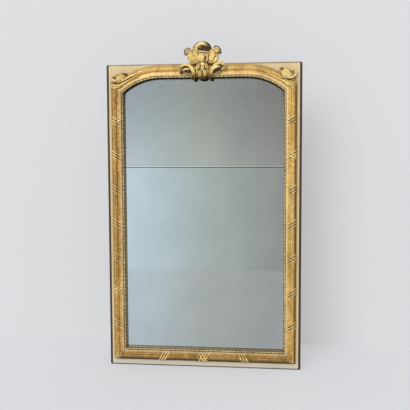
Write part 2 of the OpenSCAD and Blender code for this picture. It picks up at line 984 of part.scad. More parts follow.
// A plate with its front and back arrises ground off at the edge on the seam.
module mirror_plate(low, high, seam) {
    color(silvered) upright() difference() {
        block([-glass_x, low, glass_back], [glass_x, high, glass_front]);
        for (z = [glass_back, glass_front]) translate([-glass_x - 1, seam, z]) rotate([45, 0, 0])
            translate([0, -glass_arris / 2, -glass_arris / 2])
                cube([2 * glass_x + 2, glass_arris, glass_arris]);
    }
}

module mirror_plate_upper() {
    mirror_plate(seam_z + seam_gap / 2, glass_head, seam_z + seam_gap / 2);
}

module mirror_plate_lower() {
    mirror_plate(glass_foot, seam_z - seam_gap / 2, seam_z - seam_gap / 2);
}

// Two slips that the lower plate stands on.
module setting_blocks() {
    length = 60;
    color(bare_wood) upright() for (side = [-1, 1])
        translate([side * glass_x / 2 - length / 2, rail_foot_y, glass_back])
            cube([length, glass_play, glass_t]);
}

// Blocks glued round the rough frame behind the edge of the glass.
module glazing_blocks() {
    length = 40;
    depth = 9;
    width = 8;
    color(bare_wood) upright() {
        for (bay = bays, share = [0.25, 0.75], side = [-1, 1])
            translate([side < 0 ? -stile_x : stile_x - width,
                       bay[0] + share * (bay[1] - bay[0]) - length / 2, glass_back - depth])
                cube([width, length, depth]);
        for (x = [-glass_x / 2, 0, glass_x / 2], y = [rail_foot_y, rail_head_y - width])
            translate([x - length / 2, y, glass_back - depth]) cube([length, width, depth]);
    }
}

// ---- Hangers ----

// Puts its children at a ring's pivot, with z out of the rail's rear face.
module hanger_place(side) {
    translate([side * hanger_x, hanger_y, rail_rear]) mirror([0, 0, 1]) children();
}

module hanger_plate() {
    difference() {
        union() {
            block([-plate_w / 2, -plate_l, 0], [plate_w / 2, -neck_l, plate_t]);
            block([-knuckle_w / 2, -neck_l, 0], [knuckle_w / 2, 0, plate_t]);
            translate([-knuckle_w / 2, 0, pivot_h]) rotate([0, 90, 0])
                cylinder(r = wire_r + wire_play + knuckle_t, h = knuckle_w);
        }
        translate([-knuckle_w, 0, pivot_h]) rotate([0, 90, 0])
            cylinder(r = wire_r + wire_play, h = 2 * knuckle_w);
        for (y = hanger_screw_y) translate([0, y, -1])
            cylinder(r = screw_r + hole_play, h = plate_t + 2);
    }
}

module hanger_plate_left() {
    color(iron) upright() hanger_place(-1) hanger_plate();
}

module hanger_plate_right() {
    color(iron) upright() hanger_place(1) hanger_plate();
}

module hanger_ring() {
    translate([0, 0, pivot_h]) {
        translate([-ring_r, 0, 0]) rotate([0, 90, 0]) cylinder(r = wire_r, h = 2 * ring_r);
        for (side = [-1, 1]) {
            translate([side * ring_r, 0, 0]) sphere(wire_r);
            translate([side * ring_r, 0, 0]) rotate([90, 0, 0]) cylinder(r = wire_r, h = ring_side);
        }
        translate([0, -ring_side, 0]) bent_bar(ring_r, wire_r, 180, 180);
    }
}

module hanger_ring_left() {
    color(iron) upright() hanger_place(-1) hanger_ring();
}

module hanger_ring_right() {
    color(iron) upright() hanger_place(1) hanger_ring();
}

module hanger_screws() {
    color(iron) upright() for (side = [-1, 1]) hanger_place(side)
        for (y = hanger_screw_y) translate([0, y, plate_t]) mirror([0, 0, 1])
            wood_screw(hanger_screw_l);
}

frame_stile_left();
frame_stile_right();
frame_rail_top();
frame_rail_hanging();
frame_rail_middle();
frame_rail_bottom();
tenon_pegs();
back_board_upper();
back_board_middle();
back_board_lower();
back_board_screws();
face_stile_left();
face_stile_right();
face_rail_bottom();
face_crown();
face_haunch_left();
face_haunch_right();
edge_strip_left();
edge_strip_right();
edge_strip_top();
edge_strip_bottom();
moulding_left();
moulding_right();
moulding_bottom();
moulding_crown();
moulding_shoulder_left();
moulding_shoulder_right();
pearls_left();
pearls_right();
pearls_bottom();
pearls_crown();
pearls_shoulder_left();
pearls_shoulder_right();
ribbon_ties_left();
ribbon_ties_right();
ribbon_ties_bottom();
corner_spray_left();
corner_spray_right();
foot_leaf_left();
foot_leaf_right();
crest_board();
crest_hood();
crest_shell();
crest_ear_left();
crest_ear_right();
crest_scroll_left();
crest_scroll_right();
crest_boss();
crest_screws();
mirror_plate_upper();
mirror_plate_lower();
setting_blocks();
glazing_blocks();
hanger_plate_left();
hanger_plate_right();
hanger_ring_left();
hanger_ring_right();
hanger_screws();
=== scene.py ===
"""Pier mirror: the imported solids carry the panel, the rough frame, the plates and the iron,
and the gilt moulding, its ties, the corner leaves and the crest are carved here."""
import math
import bmesh
import bpy
from mathutils import Matrix, Vector, noise


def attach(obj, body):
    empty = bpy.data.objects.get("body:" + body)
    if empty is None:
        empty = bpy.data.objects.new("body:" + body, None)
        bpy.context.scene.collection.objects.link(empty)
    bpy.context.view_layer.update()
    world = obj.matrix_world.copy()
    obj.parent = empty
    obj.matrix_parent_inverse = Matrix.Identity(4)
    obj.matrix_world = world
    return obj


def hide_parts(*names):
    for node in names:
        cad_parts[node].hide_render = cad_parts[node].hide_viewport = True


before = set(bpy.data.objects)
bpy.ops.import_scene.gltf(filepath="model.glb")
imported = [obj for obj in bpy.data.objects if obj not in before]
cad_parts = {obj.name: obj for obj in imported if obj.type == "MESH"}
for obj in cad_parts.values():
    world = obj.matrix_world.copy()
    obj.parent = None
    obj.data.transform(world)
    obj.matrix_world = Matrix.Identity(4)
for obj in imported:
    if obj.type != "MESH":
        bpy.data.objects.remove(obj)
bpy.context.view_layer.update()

# Sizes in millimetres, as in the part's source. The carving is worked in an elevation:
# x runs to the right, y up, and z comes forward from the middle of the panel's depth.
FACE_Z = 25                                   # the front of the face boards
OUTER_X, SIGHT_X = 473.5, 411.5               # the moulding's two edges, from mid-width
OUTER_FOOT, SIGHT_FOOT = 33, 95               # the same two edges at the foot
OUTER_HEAD = 1560                             # the outer edge of the straight crown
CROWN_X, ARCH_Y = 219, 1202                   # the crown's end, above its shoulder's centre
OUTER_CORNER, SIGHT_CORNER = 1453.8, 1426.9   # where the stile meets the shoulder
MOULDING_W, SEAT_H = 62, 8                    # the section, and the pearls' flat on it
LIP_W, LIP_BACK, REBATE = 5, 3.6, 16          # the lip, its hollow back and its depth
QUIRK_W, QUIRK_H = 4, 10                      # the small step along the outer edge
TORUS_U, TORUS_R = 17, 13                     # the round member's middle and radius
SEAM_Z = 1043                                 # the joint of the two plates
TIE_FIRST, TIE_PITCH, TIES_A_SIDE = 228.5, 175.4, 7
TIE_STEP, TIE_REACH = 210, 40                 # the step at the foot, and a tie's reach over u
CREST_FRONT, SCROLL_Z = 37.2, 57.2            # the crest board's front, the scrolls' middle

# Gesso cut by hand is uneven by this much, over patches of this size. The noise's seed is
# fixed, so that every run cuts it the same way.
UNEVEN_BY, UNEVEN_OVER = 0.28, 14
noise.seed_set(1)
# Two faces of the carving that meet at less than this look smooth.
SMOOTH_BELOW = math.radians(38)

# The first stands the elevation up in the shared frame, in metres, and the second mirrors it.
STAND_UP = Matrix.Scale(0.001, 4) @ Matrix.Rotation(math.radians(90), 4, "X")
OTHER_SIDE = Matrix.Scale(-1, 4, (1, 0, 0))


# ---- Materials ----

# Settings of a Mix node that lays one colour over another, and of one that multiplies them.
# Its inputs are 0 for the amount, and 6 and 7 for the colours, and its output is 2.
OVER = {"data_type": "RGBA", "blend_type": "MIX"}
TIMES = {"data_type": "RGBA", "blend_type": "MULTIPLY"}


def linear(hex_code):
    """The linear colour of an sRGB hex code."""
    parts = [int(hex_code[i:i + 2], 16) / 255 for i in (1, 3, 5)]
    return [c / 12.92 if c <= 0.04045 else ((c + 0.055) / 1.055) ** 2.4 for c in parts] + [1]


def add(tree, kind, inputs=None, stops=None, **settings):
    """Adds a shader node with its settings, its colour stops, and its values or links."""
    node = tree.nodes.new("ShaderNode" + kind)
    for name, value in settings.items():
        setattr(node, name, value)
    if stops:
        ramp = node.color_ramp.elements
        for place, shade in stops[2:]:
            ramp.new(place)
        for element, (place, shade) in zip(ramp, stops):
            element.position = place
            element.color = linear(shade)
    for name, value in (inputs or {}).items():
        if isinstance(value, bpy.types.NodeSocket):
            tree.links.new(value, node.inputs[name])
        elif isinstance(value, str):
            node.inputs[name].default_value = linear(value)
        else:
            node.inputs[name].default_value = value
    return node


def speckle(tree, where, size_mm, detail=3, stretch=(1, 1, 1), rough=0.55):
    """Cloudy noise in patches about size_mm across, which a stretch below 1 draws out."""
    place = add(tree, "Mapping", {"Vector": where, "Scale": stretch})
    return add(tree, "TexNoise", {"Vector": place.outputs[0], "Scale": 1000 / size_mm,
                                  "Detail": detail, "Roughness": rough}).outputs["Fac"]


def material_of(name, surface, *tones, **settings):
    """A material with one of the surfaces below, whose patterns read Object coordinates."""
    material = bpy.data.materials.new(name)
    material.use_nodes = True
    tree = material.node_tree
    tree.nodes.clear()
    where = add(tree, "TexCoord").outputs["Object"]
    shader = surface(tree, where, *tones, **settings)
    add(tree, "OutputMaterial", {"Surface": shader.outputs[0]})
    return material


def gilding(tree, where, bright, mid, deep, bole, worn, polish=0.5, shine=0.5, reach_mm=4):
    """Old water gilding on carved wood: leaf over red clay, rubbed, with dirt and painted
    shade in the hollows.

    It gives the eye a soft satin gold with reddish clay where the leaf has gone, brown dust
    and painted shade in the hollows and a painted near-black shade in the deepest. Grime below
    0 marks wood with bare, pale gesso, which also serves as a painted highlight. A lower worn
    shows more clay, and painted shade darkens where wood closes in within reach_mm."""
    patches = speckle(tree, where, 13, 5)
    tone = add(tree, "ValToRGB", {"Fac": patches}, [(0.36, mid), (0.6, bright)])
    # Leaf that has rubbed through to the clay, in patches 10 mm across and longer than wide.
    rubbed = add(tree, "ValToRGB", {"Fac": speckle(tree, where, 10, 6, (1, 1, 0.6), 0.65)},
                 [(worn, "#000000"), (worn + 0.12, "#FFFFFF")])
    leaf = add(tree, "Mix", {0: rubbed.outputs[0], 6: tone.outputs[0], 7: bole}, **OVER)
    # The gold is duller in long drifts, where it has been handled and dusted.
    drift = add(tree, "ValToRGB", {"Fac": speckle(tree, where, 70, 3, (1.6, 1, 0.45))},
                [(0.42, "#BFAE80"), (0.6, "#FFFFFF")])
    leaf = add(tree, "Mix", {0: 0.5, 6: leaf.outputs[2], 7: drift.outputs[0]}, **TIMES)
    # Dust and painted shade lie in the carver's hollows, which the pieces carry in their
    # vertex layer, and painted shade darkens where the wood closes in within the reach, down
    # to near black.
    open_air = add(tree, "AmbientOcclusion", {"Distance": reach_mm / 1000}, samples=12)
    closed = add(tree, "MapRange", {"Value": open_air.outputs["AO"], "From Min": 0.85,
                                    "From Max": 0.25})
    grime = add(tree, "Attribute", attribute_name="grime").outputs["Fac"]
    dust_and_shade = add(tree, "Math", {0: closed.outputs[0], 1: grime}, operation="ADD", use_clamp=True)
    brown = add(tree, "MapRange", {"Value": dust_and_shade.outputs[0], "From Max": 0.7})
    black = add(tree, "MapRange", {"Value": dust_and_shade.outputs[0], "From Min": 0.72, "To Max": 0.85})
    bare_gesso_and_highlight = add(tree, "MapRange", {"Value": grime, "From Max": -1.0})
    colour = leaf
    for cover, shade in ((brown, deep), (black, "#2E1E0B"), (bare_gesso_and_highlight, "#F0E8D6")):
        colour = add(tree, "Mix", {0: cover.outputs[0], 6: colour.outputs[2], 7: shade},
                     **OVER)
    # What is dusty, painted in shade or bare has lost its sheen.
    dull = add(tree, "Math", {0: dust_and_shade.outputs[0], 1: bare_gesso_and_highlight.outputs[0]}, operation="MAXIMUM")
    rough = add(tree, "MapRange", {"Value": dull.outputs[0], "To Min": polish, "To Max": 0.85})
    metal = add(tree, "MapRange", {"Value": dull.outputs[0], "To Min": shine, "To Max": 0.0})
    # The gesso was laid on by brush, which left ripples 3 mm across.
    ripple = add(tree, "Bump", {"Height": speckle(tree, where, 3.2, 3), "Strength": 0.4,
                                "Distance": 0.0006})
    return add(tree, "BsdfPrincipled", {
        "Base Color": colour.outputs[2], "Roughness": rough.outputs[0],
        "Metallic": metal.outputs[0], "Normal": ripple.outputs[0]})


def oil_paint(tree, where, light, dark, crack):
    """Aged oil paint, brushed on pine boards: it gives the eye a dull, warm cream with drifts
    of grime, fine cracks and chips, and painted shade beside the moulding."""
    drift = speckle(tree, where, 160, 5, (1, 1, 0.35))
    paint = add(tree, "ValToRGB", {"Fac": drift}, [(0.3, dark), (0.66, light)]).outputs[0]
    # Brush marks run up and down the boards, 2 mm apart.
    brush = speckle(tree, where, 2.2, 2, (1, 1, 0.03))
    brushed = add(tree, "ValToRGB", {"Fac": brush}, [(0.3, "#D9D4CA"), (0.7, "#FFFFFF")])
    paint = add(tree, "Mix", {0: 0.45, 6: paint, 7: brushed.outputs[0]}, **TIMES).outputs[2]
    # Fine, faint cracks across the boards, in cells of 14 mm.
    cells = add(tree, "TexVoronoi", {"Vector": where, "Scale": 1000 / 14},
                feature="DISTANCE_TO_EDGE")
    cracked = add(tree, "ValToRGB", {"Fac": cells.outputs["Distance"]},
                  [(0.0, "#FFFFFF"), (0.035, "#000000")])
    crackle = add(tree, "Math", {0: cracked.outputs[0], 1: 0.22}, operation="MULTIPLY")
    # Specks where the paint has chipped to the wood, 6 mm and less.
    chips = add(tree, "ValToRGB", {"Fac": speckle(tree, where, 6, 5)},
                [(0.705, "#000000"), (0.72, "#FFFFFF")])
    # Painted shade darkens the paint beside the moulding, where 20 mm of open air is closed
    # off.
    air = add(tree, "AmbientOcclusion", {"Distance": 0.02}, samples=8)
    grime = add(tree, "ValToRGB", {"Fac": air.outputs["AO"]},
                [(0.3, "#FFFFFF"), (0.9, "#000000")])
    # The foot has been washed paler and greyer, up to 30 mm from the floor, less up to 50.
    axes = add(tree, "SeparateXYZ", {"Vector": where})
    washed = add(tree, "MapRange", {"Value": axes.outputs["Z"], "From Min": 0.05,
                                    "From Max": 0.03, "To Max": 0.8})
    for cover, shade in ((crackle, crack), (chips, "#8A6A44"), (grime, "#9A7E55"),
                         (washed, "#CDC8B8")):
        paint = add(tree, "Mix", {0: cover.outputs[0], 6: paint, 7: shade}, **OVER).outputs[2]
    bump = add(tree, "Bump", {"Height": brush, "Strength": 0.35, "Distance": 0.0003})
    return add(tree, "BsdfPrincipled", {"Base Color": paint, "Roughness": 0.55, "IOR": 1.5,
                                        "Normal": bump.outputs[0]})


def wood(tree, where, light, dark, along, rough=0.7, ring_mm=7.0):
    """Bare or stained wood, with its grain along one axis: rings, fine pores and drifts. It
    gives the eye dull streaks that run the length of each board."""
    stretch = [0.035 if axis == along else 1.0 for axis in "XYZ"]
    rings = speckle(tree, where, ring_mm, 3, stretch)
    pores = speckle(tree, where, 1.3, 2, [s * (0.6 if s < 1 else 1) for s in stretch])
    tone = add(tree, "ValToRGB", {"Fac": rings}, [(0.32, dark), (0.64, light)])
    pored = add(tree, "ValToRGB", {"Fac": pores}, [(0.32, "#A9A096"), (0.5, "#FFFFFF")])
    colour = add(tree, "Mix", {0: 0.6, 6: tone.outputs[0], 7: pored.outputs[0]}, **TIMES)
    drift = add(tree, "ValToRGB", {"Fac": speckle(tree, where, 130, 3)},
                [(0.3, "#C9C2B8"), (0.7, "#FFFFFF")])
    colour = add(tree, "Mix", {0: 0.8, 6: colour.outputs[2], 7: drift.outputs[0]}, **TIMES)
    bump = add(tree, "Bump", {"Height": pores, "Strength": 0.5, "Distance": 0.0003})
    return add(tree, "BsdfPrincipled", {"Base Color": colour.outputs[2], "Roughness": rough,
                                        "IOR": 1.5, "Normal": bump.outputs[0]})


def silvered(tree, where, left, middle, right):
    """A plate of old glass silvered behind, with a painted reflection that greys it from left
    to
    right: a clear mirror with brown and pale specks, a painted black shade under the head, a
    tarnished joint and a painted highlight on its arris. Its back is covered by dull grey
    paint."""
    axes = add(tree, "SeparateXYZ", {"Vector": where})
    # The grey from left to right is a painted reflection of a room lit from the left.
    over = add(tree, "MapRange", {"Value": axes.outputs["X"], "From Min": -0.38,
                                  "From Max": 0.38})
    cloud_and_reflection = add(tree, "ValToRGB", {"Fac": over.outputs[0]},
                [(0.08, left), (0.5, middle), (0.92, right)])
    mottle = add(tree, "ValToRGB", {"Fac": speckle(tree, where, 260, 4)},
                 [(0.3, "#F2F4F3"), (0.68, "#FFFFFF")])
    cloud_and_reflection = add(tree, "Mix", {0: 1.0, 6: cloud_and_reflection.outputs[0], 7: mottle.outputs[0]}, **TIMES)

    def specks(size_mm, near, start):
        """Spots up to size_mm across, which are thickest where near is largest."""
        spots = add(tree, "Math", {0: speckle(tree, where, size_mm, 4, rough=0.7),
                                   1: near.outputs[0]}, operation="ADD")
        return add(tree, "ValToRGB", {"Fac": spots.outputs[0]},
                   [(start, "#000000"), (start + 0.055, "#FFFFFF")])

    # Specks of lost silver are thickest within 80 mm of the stiles, and pale specks of haze
    # under the head.
    inset = add(tree, "Math", {0: axes.outputs["X"]}, operation="ABSOLUTE")
    near_edge = add(tree, "MapRange", {"Value": inset.outputs[0], "From Min": 0.33,
                                       "From Max": 0.415, "To Min": 0.0, "To Max": 0.085})
    near_head = add(tree, "MapRange", {"Value": axes.outputs["Z"], "From Min": 1.25,
                                       "From Max": 1.5, "To Min": 0.0, "To Max": 0.12})
    spotted = specks(4.5, near_edge, 0.735)
    haze = specks(6, near_head, 0.69)
    # The silver has gone dark for about 2 mm beside the joint of the two plates, and a painted
    # highlight lies on the ground arris above it.
    above = add(tree, "Math", {0: axes.outputs["Z"], 1: SEAM_Z / 1000}, operation="SUBTRACT")
    arris = add(tree, "Math", {0: above.outputs[0], 1: 0.0052, 2: 0.0022}, operation="COMPARE")
    arris = add(tree, "Math", {0: arris.outputs[0], 1: 0.32}, operation="MULTIPLY")
    for cover, shade in ((haze, "#E6EAE8"), (arris, "#F2F6F4")):
        cloud_and_reflection = add(tree, "Mix", {0: cover.outputs[0], 6: cloud_and_reflection.outputs[2], 7: shade}, **OVER)
    off_seam = add(tree, "Math", {0: above.outputs[0]}, operation="ABSOLUTE")
    seam = add(tree, "MapRange", {"Value": off_seam.outputs[0], "From Min": 0.0012,
                                  "From Max": 0.0026, "To Min": 0.6, "To Max": 0.0})
    # Painted shade turns it black for some 5 mm along the head's lip, where the moulding
    # closes in.
    open_air = add(tree, "AmbientOcclusion", {"Distance": 0.018}, samples=16)
    edge = add(tree, "MapRange", {"Value": open_air.outputs["AO"], "From Min": 0.9,
                                  "From Max": 0.65})
    at_head = add(tree, "MapRange", {"Value": axes.outputs["Z"], "From Min": 1.36,
                                     "From Max": 1.44})
    edge = add(tree, "Math", {0: edge.outputs[0], 1: at_head.outputs[0]}, operation="MULTIPLY")
    lost_silver_and_shade = spotted
    for more in (seam, edge):
        lost_silver_and_shade = add(tree, "Math", {0: lost_silver_and_shade.outputs[0], 1: more.outputs[0]}, operation="MAXIMUM")
    colour = add(tree, "Mix", {0: lost_silver_and_shade.outputs[0], 6: cloud_and_reflection.outputs[2], 7: "#2E2A1C"}, **OVER)
    rough = add(tree, "MapRange", {"Value": lost_silver_and_shade.outputs[0], "To Min": 0.02, "To Max": 0.4})
    front = add(tree, "BsdfPrincipled", {"Base Color": colour.outputs[2], "Metallic": 1.0,
                                         "Roughness": rough.outputs[0]})
    grey = add(tree, "Mix", {0: speckle(tree, where, 40, 4), 6: "#5E5A52", 7: "#7D766B"},
               **OVER)
    back = add(tree, "BsdfPrincipled", {"Base Color": grey.outputs[2], "Roughness": 0.8})
    # The painted back of the plates lies 4 mm in front of the middle of the depth.
    behind = add(tree, "MapRange", {"Value": axes.outputs["Y"], "From Min": -0.0046,
                                    "From Max": -0.0044})
    return add(tree, "MixShader", {0: behind.outputs[0], 1: front.outputs[0],
                                   2: back.outputs[0]})


def hammered_iron(tree, where):
    """Forged iron: it gives the eye a dull brown-grey, rusted in patches 5 mm across and
    pitted by the hammer and the fire."""
    rust = add(tree, "ValToRGB", {"Fac": speckle(tree, where, 5, 5)},
               [(0.38, "#3A3632"), (0.6, "#5E4030")])
    bump = add(tree, "Bump", {"Height": speckle(tree, where, 1.2, 3), "Strength": 0.6,
                              "Distance": 0.0002})
    return add(tree, "BsdfPrincipled", {
        "Base Color": rust.outputs[0], "Metallic": 0.7, "Roughness": 0.6,
        "Normal": bump.outputs[0]})


# Each length's gold has its own tones: that of the left stile is rubbed to the clay and
# painted darker as shade, that of the head and the right stile is clean and bright, and that
# of the foot is dull and painted darker as shade.
gilt_left = material_of("water_gilding_left_stile_rubbed_and_painted_shade", gilding, "#E0B66A", "#AE843C",
                        "#7E5A1A", "#A87A4C", worn=0.52)
gilt_right = material_of("water_gilding_right_stile", gilding, "#F2CC7C", "#D2A858",
                         "#86632A", "#BC8A4C", worn=0.60)
gilt_head = material_of("water_gilding_head", gilding, "#F2CC80", "#D8AC5E", "#8E6A2E",
                        "#BC8A4C", worn=0.62)
gilt_foot = material_of("water_gilding_foot_dull_and_painted_shade", gilding, "#CCA65C", "#A47E3E", "#5E431B",
                        "#8C6434", worn=0.56, polish=0.55)
# The carving is paler, with painted shade in its hollows, and the pearls stand pale in a
# painted near-black shade; the head's pearls are painted paler, as lit from above.
gilt_carving = material_of("water_gilding_on_carving", gilding, "#FFEAA2", "#F2CC78",
                           "#7A5A1A", "#D8A860", worn=0.64, shine=0.4, reach_mm=6)
gilt_ties = material_of("water_gilding_on_ties", gilding, "#F2D38C", "#D2AC62", "#5E4318",
                        "#B07E48", worn=0.6, shine=0.4)
gilt_pearls = material_of("water_gilding_on_pearls", gilding, "#F0DAA2", "#CCAE74", "#241B0C",
                          "#9A7846", worn=0.66, shine=0.3, reach_mm=5)
gilt_pearls_head = material_of("water_gilding_on_head_pearls", gilding, "#F2DEA8", "#D8BE84",
                               "#3A2C14", "#A88450", worn=0.66, shine=0.3)
cream_paint = material_of("aged_cream_oil_paint", oil_paint, "#E8D2A2", "#D6BC8C", "#7A6242")
# Stained, waxed walnut: a dark line down both sides. The top strip is painted paler as a
# highlight, as lit from above, and the foot strip greyer as shade.
dark_walnut = material_of("stained_walnut_strip_upright", wood, "#513A1B", "#33240F", "Z",
                          rough=0.6, ring_mm=5)
walnut_top_painted_lit = material_of("walnut_strip_top_painted_highlight", wood, "#AE9B78", "#8F7C5B", "X",
                             rough=0.6, ring_mm=5)
walnut_foot_painted_shade = material_of("walnut_strip_foot_painted_shade", wood, "#6E6656", "#464034", "X",
                              rough=0.6, ring_mm=5)
# Bare woods behind, darkened by age: yellow pine, brown oak pegs, greyer poplar and pale lime.
pine_upright = material_of("bare_pine_upright", wood, "#C29A63", "#9A7243", "Z")
pine_across = material_of("bare_pine_across", wood, "#C29A63", "#9A7243", "X")
old_board = material_of("old_poplar_board", wood, "#9C7D55", "#7A5D3B", "Z", rough=0.8,
                        ring_mm=12)
oak = material_of("oak_peg", wood, "#8A6238", "#5E4022", "Y")
lime_wood = material_of("bare_lime_wood", wood, "#C9A872", "#A9874F", "X")
iron = material_of("forged_iron", hammered_iron)
# The lower plate is paler and bluer than the upper: a painted reflection of the pale floor.
upper_silver = material_of("old_silvered_glass_upper", silvered, "#C0C6C8", "#BFC1B8",
                           "#B7B3B1")
lower_silver = material_of("old_silvered_glass_lower", silvered, "#C8D5DB", "#BCC2BE",
                           "#B4B7B5")

for material, names in {
    pine_upright: ["frame_stile_left", "frame_stile_right"],
    pine_across: ["frame_rail_top", "frame_rail_hanging", "frame_rail_middle",
                  "frame_rail_bottom", "setting_blocks", "glazing_blocks"],
    oak: ["tenon_pegs"],
    old_board: ["back_board_upper", "back_board_middle", "back_board_lower"],
    iron: ["back_board_screws", "crest_screws", "hanger_screws", "hanger_plate_left",
           "hanger_plate_right", "hanger_ring_left", "hanger_ring_right"],
    cream_paint: ["face_stile_left", "face_stile_right", "face_rail_bottom", "face_crown",
                  "face_haunch_left", "face_haunch_right"],
    dark_walnut: ["edge_strip_left", "edge_strip_right"],
    walnut_top_painted_lit: ["edge_strip_top"],
    walnut_foot_painted_shade: ["edge_strip_bottom"],
    gilt_pearls: ["pearls_left", "pearls_right", "pearls_bottom"],
    gilt_pearls_head: ["pearls_crown", "pearls_shoulder_left", "pearls_shoulder_right"],
    lime_wood: ["crest_board"],
    upper_silver: ["mirror_plate_upper"],
    lower_silver: ["mirror_plate_lower"],
}.items():
    for name in names:
        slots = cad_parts[name].data.materials
        slots.clear()
        slots.append(material)


# ---- Carver's tools ----

def object_of(name, bm, material):
    """Puts a worked mesh into the scene, as an object of one material."""
    mesh = bpy.data.meshes.new(name)
    bm.to_mesh(mesh)
    bm.free()
    mesh.materials.append(material)
    piece = bpy.data.objects.new(name, mesh)
    bpy.context.scene.collection.objects.link(piece)
    return piece


def finished(name, bm, material, replaced, mirrored=False):
    """Stands a carved piece up in the shared frame, as one object that rides on the mirror."""
    bmesh.ops.remove_doubles(bm, verts=bm.verts, dist=0.005)
    side = OTHER_SIDE if mirrored else Matrix()
    bmesh.ops.transform(bm, matrix=STAND_UP @ side, verts=bm.verts)
    bmesh.ops.recalc_face_normals(bm, faces=bm.faces)
    for face in bm.faces:
        face.smooth = True
    for edge in bm.edges:
        edge.smooth = edge.calc_face_angle(0) < SMOOTH_BELOW
    piece = object_of(name, bm, material)
    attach(piece, "mirror")
    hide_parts(replaced)


def grime_layer(bm):
    """The layer that holds how much dirt and painted shade lies on each vertex: 1 is full, and
    -1 is bare gesso, which also serves as a painted highlight.
    """
    layers = bm.verts.layers.float
    return layers.get("grime") or layers.new("grime")


def read_rows(rows, t):
    """A smooth reading, at t from 0 to 1, of rows of numbers."""
    place = t * (len(rows) - 1)
    i = min(int(place), len(rows) - 2)
    f = place - i
    before, start, end, after = (rows[max(i - 1, 0)], rows[i], rows[i + 1],
                                 rows[min(i + 2, len(rows) - 1)])
    return [0.5 * (2 * b + (c - a) * f + (2 * a - 5 * b + 4 * c - d) * f * f
                   + (3 * b - a - 3 * c + d) * f ** 3)
            for a, b, c, d in zip(before, start, end, after)]


def carve(bm, rows, cut, around=20, steps=6, grime=0.0):
    """One carved member. Its middle line, half width, half height and its dirt and painted
    light run smoothly through rows of x, y, z, width, height and, if given, dirt and painted
    light.
    cut(angle, t) gives the section at half sizes of 1, then how far the wood is pushed along
    the line, in half widths, and the dirt and painted light. around counts the faces round it,
    and steps those from row to row."""
    layer = grime_layer(bm)
    along = steps * (len(rows) - 1)
    stations = []
    for k in range(along + 1):
        x, y, z, wide, high, *soil_and_painted_light = read_rows(rows, k / along)
        ahead = read_rows(rows, min((k + 0.5) / along, 1))
        behind = read_rows(rows, max((k - 0.5) / along, 0))
        run = (Vector(ahead[:3]) - Vector(behind[:3])).normalized()
        side = Vector((0, 0, 1)).cross(run).normalized()
        stations.append((Vector((x, y, z)), run, side, run.cross(side),
                         max(wide, 0.01), max(high, 0.01), sum(soil_and_painted_light) + grime))
    grid = bmesh.ops.create_grid(bm, x_segments=around, y_segments=along, size=0.5)["verts"]
    for vert in grid:
        t = vert.co.y + 0.5
        middle, run, side, lift, wide, high, soil_and_painted_light = stations[round(t * along)]
        across, out, forward, dirt_and_painted_light = cut(math.tau * (vert.co.x + 0.5), t)
        vert.co = middle + side * wide * across + lift * high * out + run * wide * forward
        vert[layer] = min(1, max(-1, dirt_and_painted_light + soil_and_painted_light))
    bmesh.ops.remove_doubles(bm, verts=grid, dist=0.02)
    grid = [vert for vert in grid if vert.is_valid]
    rims = {edge for vert in grid for edge in vert.link_edges if edge.is_boundary}
    bmesh.ops.holes_fill(bm, edges=list(rims), sides=0)
    return grid


def round_cut(angle, t):
    """A plain round member."""
    return math.cos(angle), math.sin(angle), 0, 0


def even_member(bm, points, wide, high, **settings):
    """A plain round member of one size through points of x, y, z."""
    return carve(bm, [[*point, wide, high] for point in points], round_cut, **settings)


def channel_cut(angle, t):
    """A member with a hollow face between two rims, scalloped outside, as on a scroll."""
    across, out = math.cos(angle), math.sin(angle)
    rim, scallops = 0.66, 7
    hollow = max(0, 1 - (across / rim) ** 2) if out > 0 else 0
    scallop = 1 + 0.1 * abs(math.sin(math.pi * scallops * t)) * max(0, across)
    return across * scallop, out * (1 - 0.3 * hollow), 0, 0.18 * hollow ** 2


def canopy_cut(angle, t):
    """A swelling member painted in shade towards both its edges, the outer one most."""
    across, out = math.cos(angle), math.sin(angle)
    wave = 0.06 * math.cos(3 * math.pi * across)
    outer = min(1, max(0, (across - 0.62) / 0.25))
    inner = min(1, max(0, (-across - 0.6) / 0.3))
    return across, out * (1 - wave), 0, 0.85 * outer + 0.7 * inner


def leaf_cut(lobes, depth, rake, veins, soil_and_painted_light=1.0):
    """A leaf with a midrib: notched to a depth into lobes that lean forward by the rake, and
    veined to each lobe."""
    def cut(angle, t):
        across, out = math.cos(angle), math.sin(angle)
        swell = abs(math.sin(math.pi * lobes * t))
        edge = 1 - depth * (1 - swell) * min(1, 4 * t)
        rib = math.exp(-(across / 0.13) ** 2)
        if out > 0:
            out *= 1 + veins * (2 * swell - 1) * abs(across) - 1.4 * veins * rib
        else:
            out *= 0.5
        # Painted shade lies in the notches between the lobes and along the midrib.
        dirt_and_painted_light = 0.35 * (1 - swell) ** 2 * abs(across) + 0.2 * rib
        return across * edge, out, rake * abs(across) ** 1.5 * (1 - t), dirt_and_painted_light * soil_and_painted_light
    return cut


def gadroon_cut(flutes, depth, dirt_and_painted_light):
    """A round, swelling lobe with shallow flutes along it."""
    def cut(angle, t):
        across, out = math.cos(angle), math.sin(angle)
        wave = 0.5 - 0.5 * math.cos(math.tau * flutes * (0.5 + 0.5 * across))
        groove = 1 - depth * (1 - wave)
        # The flutes' hollows are painted darker, as shade.
        return across, out * groove, 0, dirt_and_painted_light * (1 - wave) ** 2 * (abs(across) < 0.95)
    return cut


def button(bm, x, y, z, wide, high, grime=0.0, segments=20, tall=None):
    """A bead, or a patch painted dark as the shade in a drilled hole: wide, high and tall are
    half sizes.
    """
    layer = grime_layer(bm)
    place = Matrix.Translation((x, y, z)) @ Matrix.Diagonal((wide, tall or wide, high, 1))
    for vert in bmesh.ops.create_uvsphere(bm, u_segments=segments, v_segments=segments // 2,
                                          radius=1, matrix=place)["verts"]:
        vert[layer] = grime


# ---- Mouldings ----

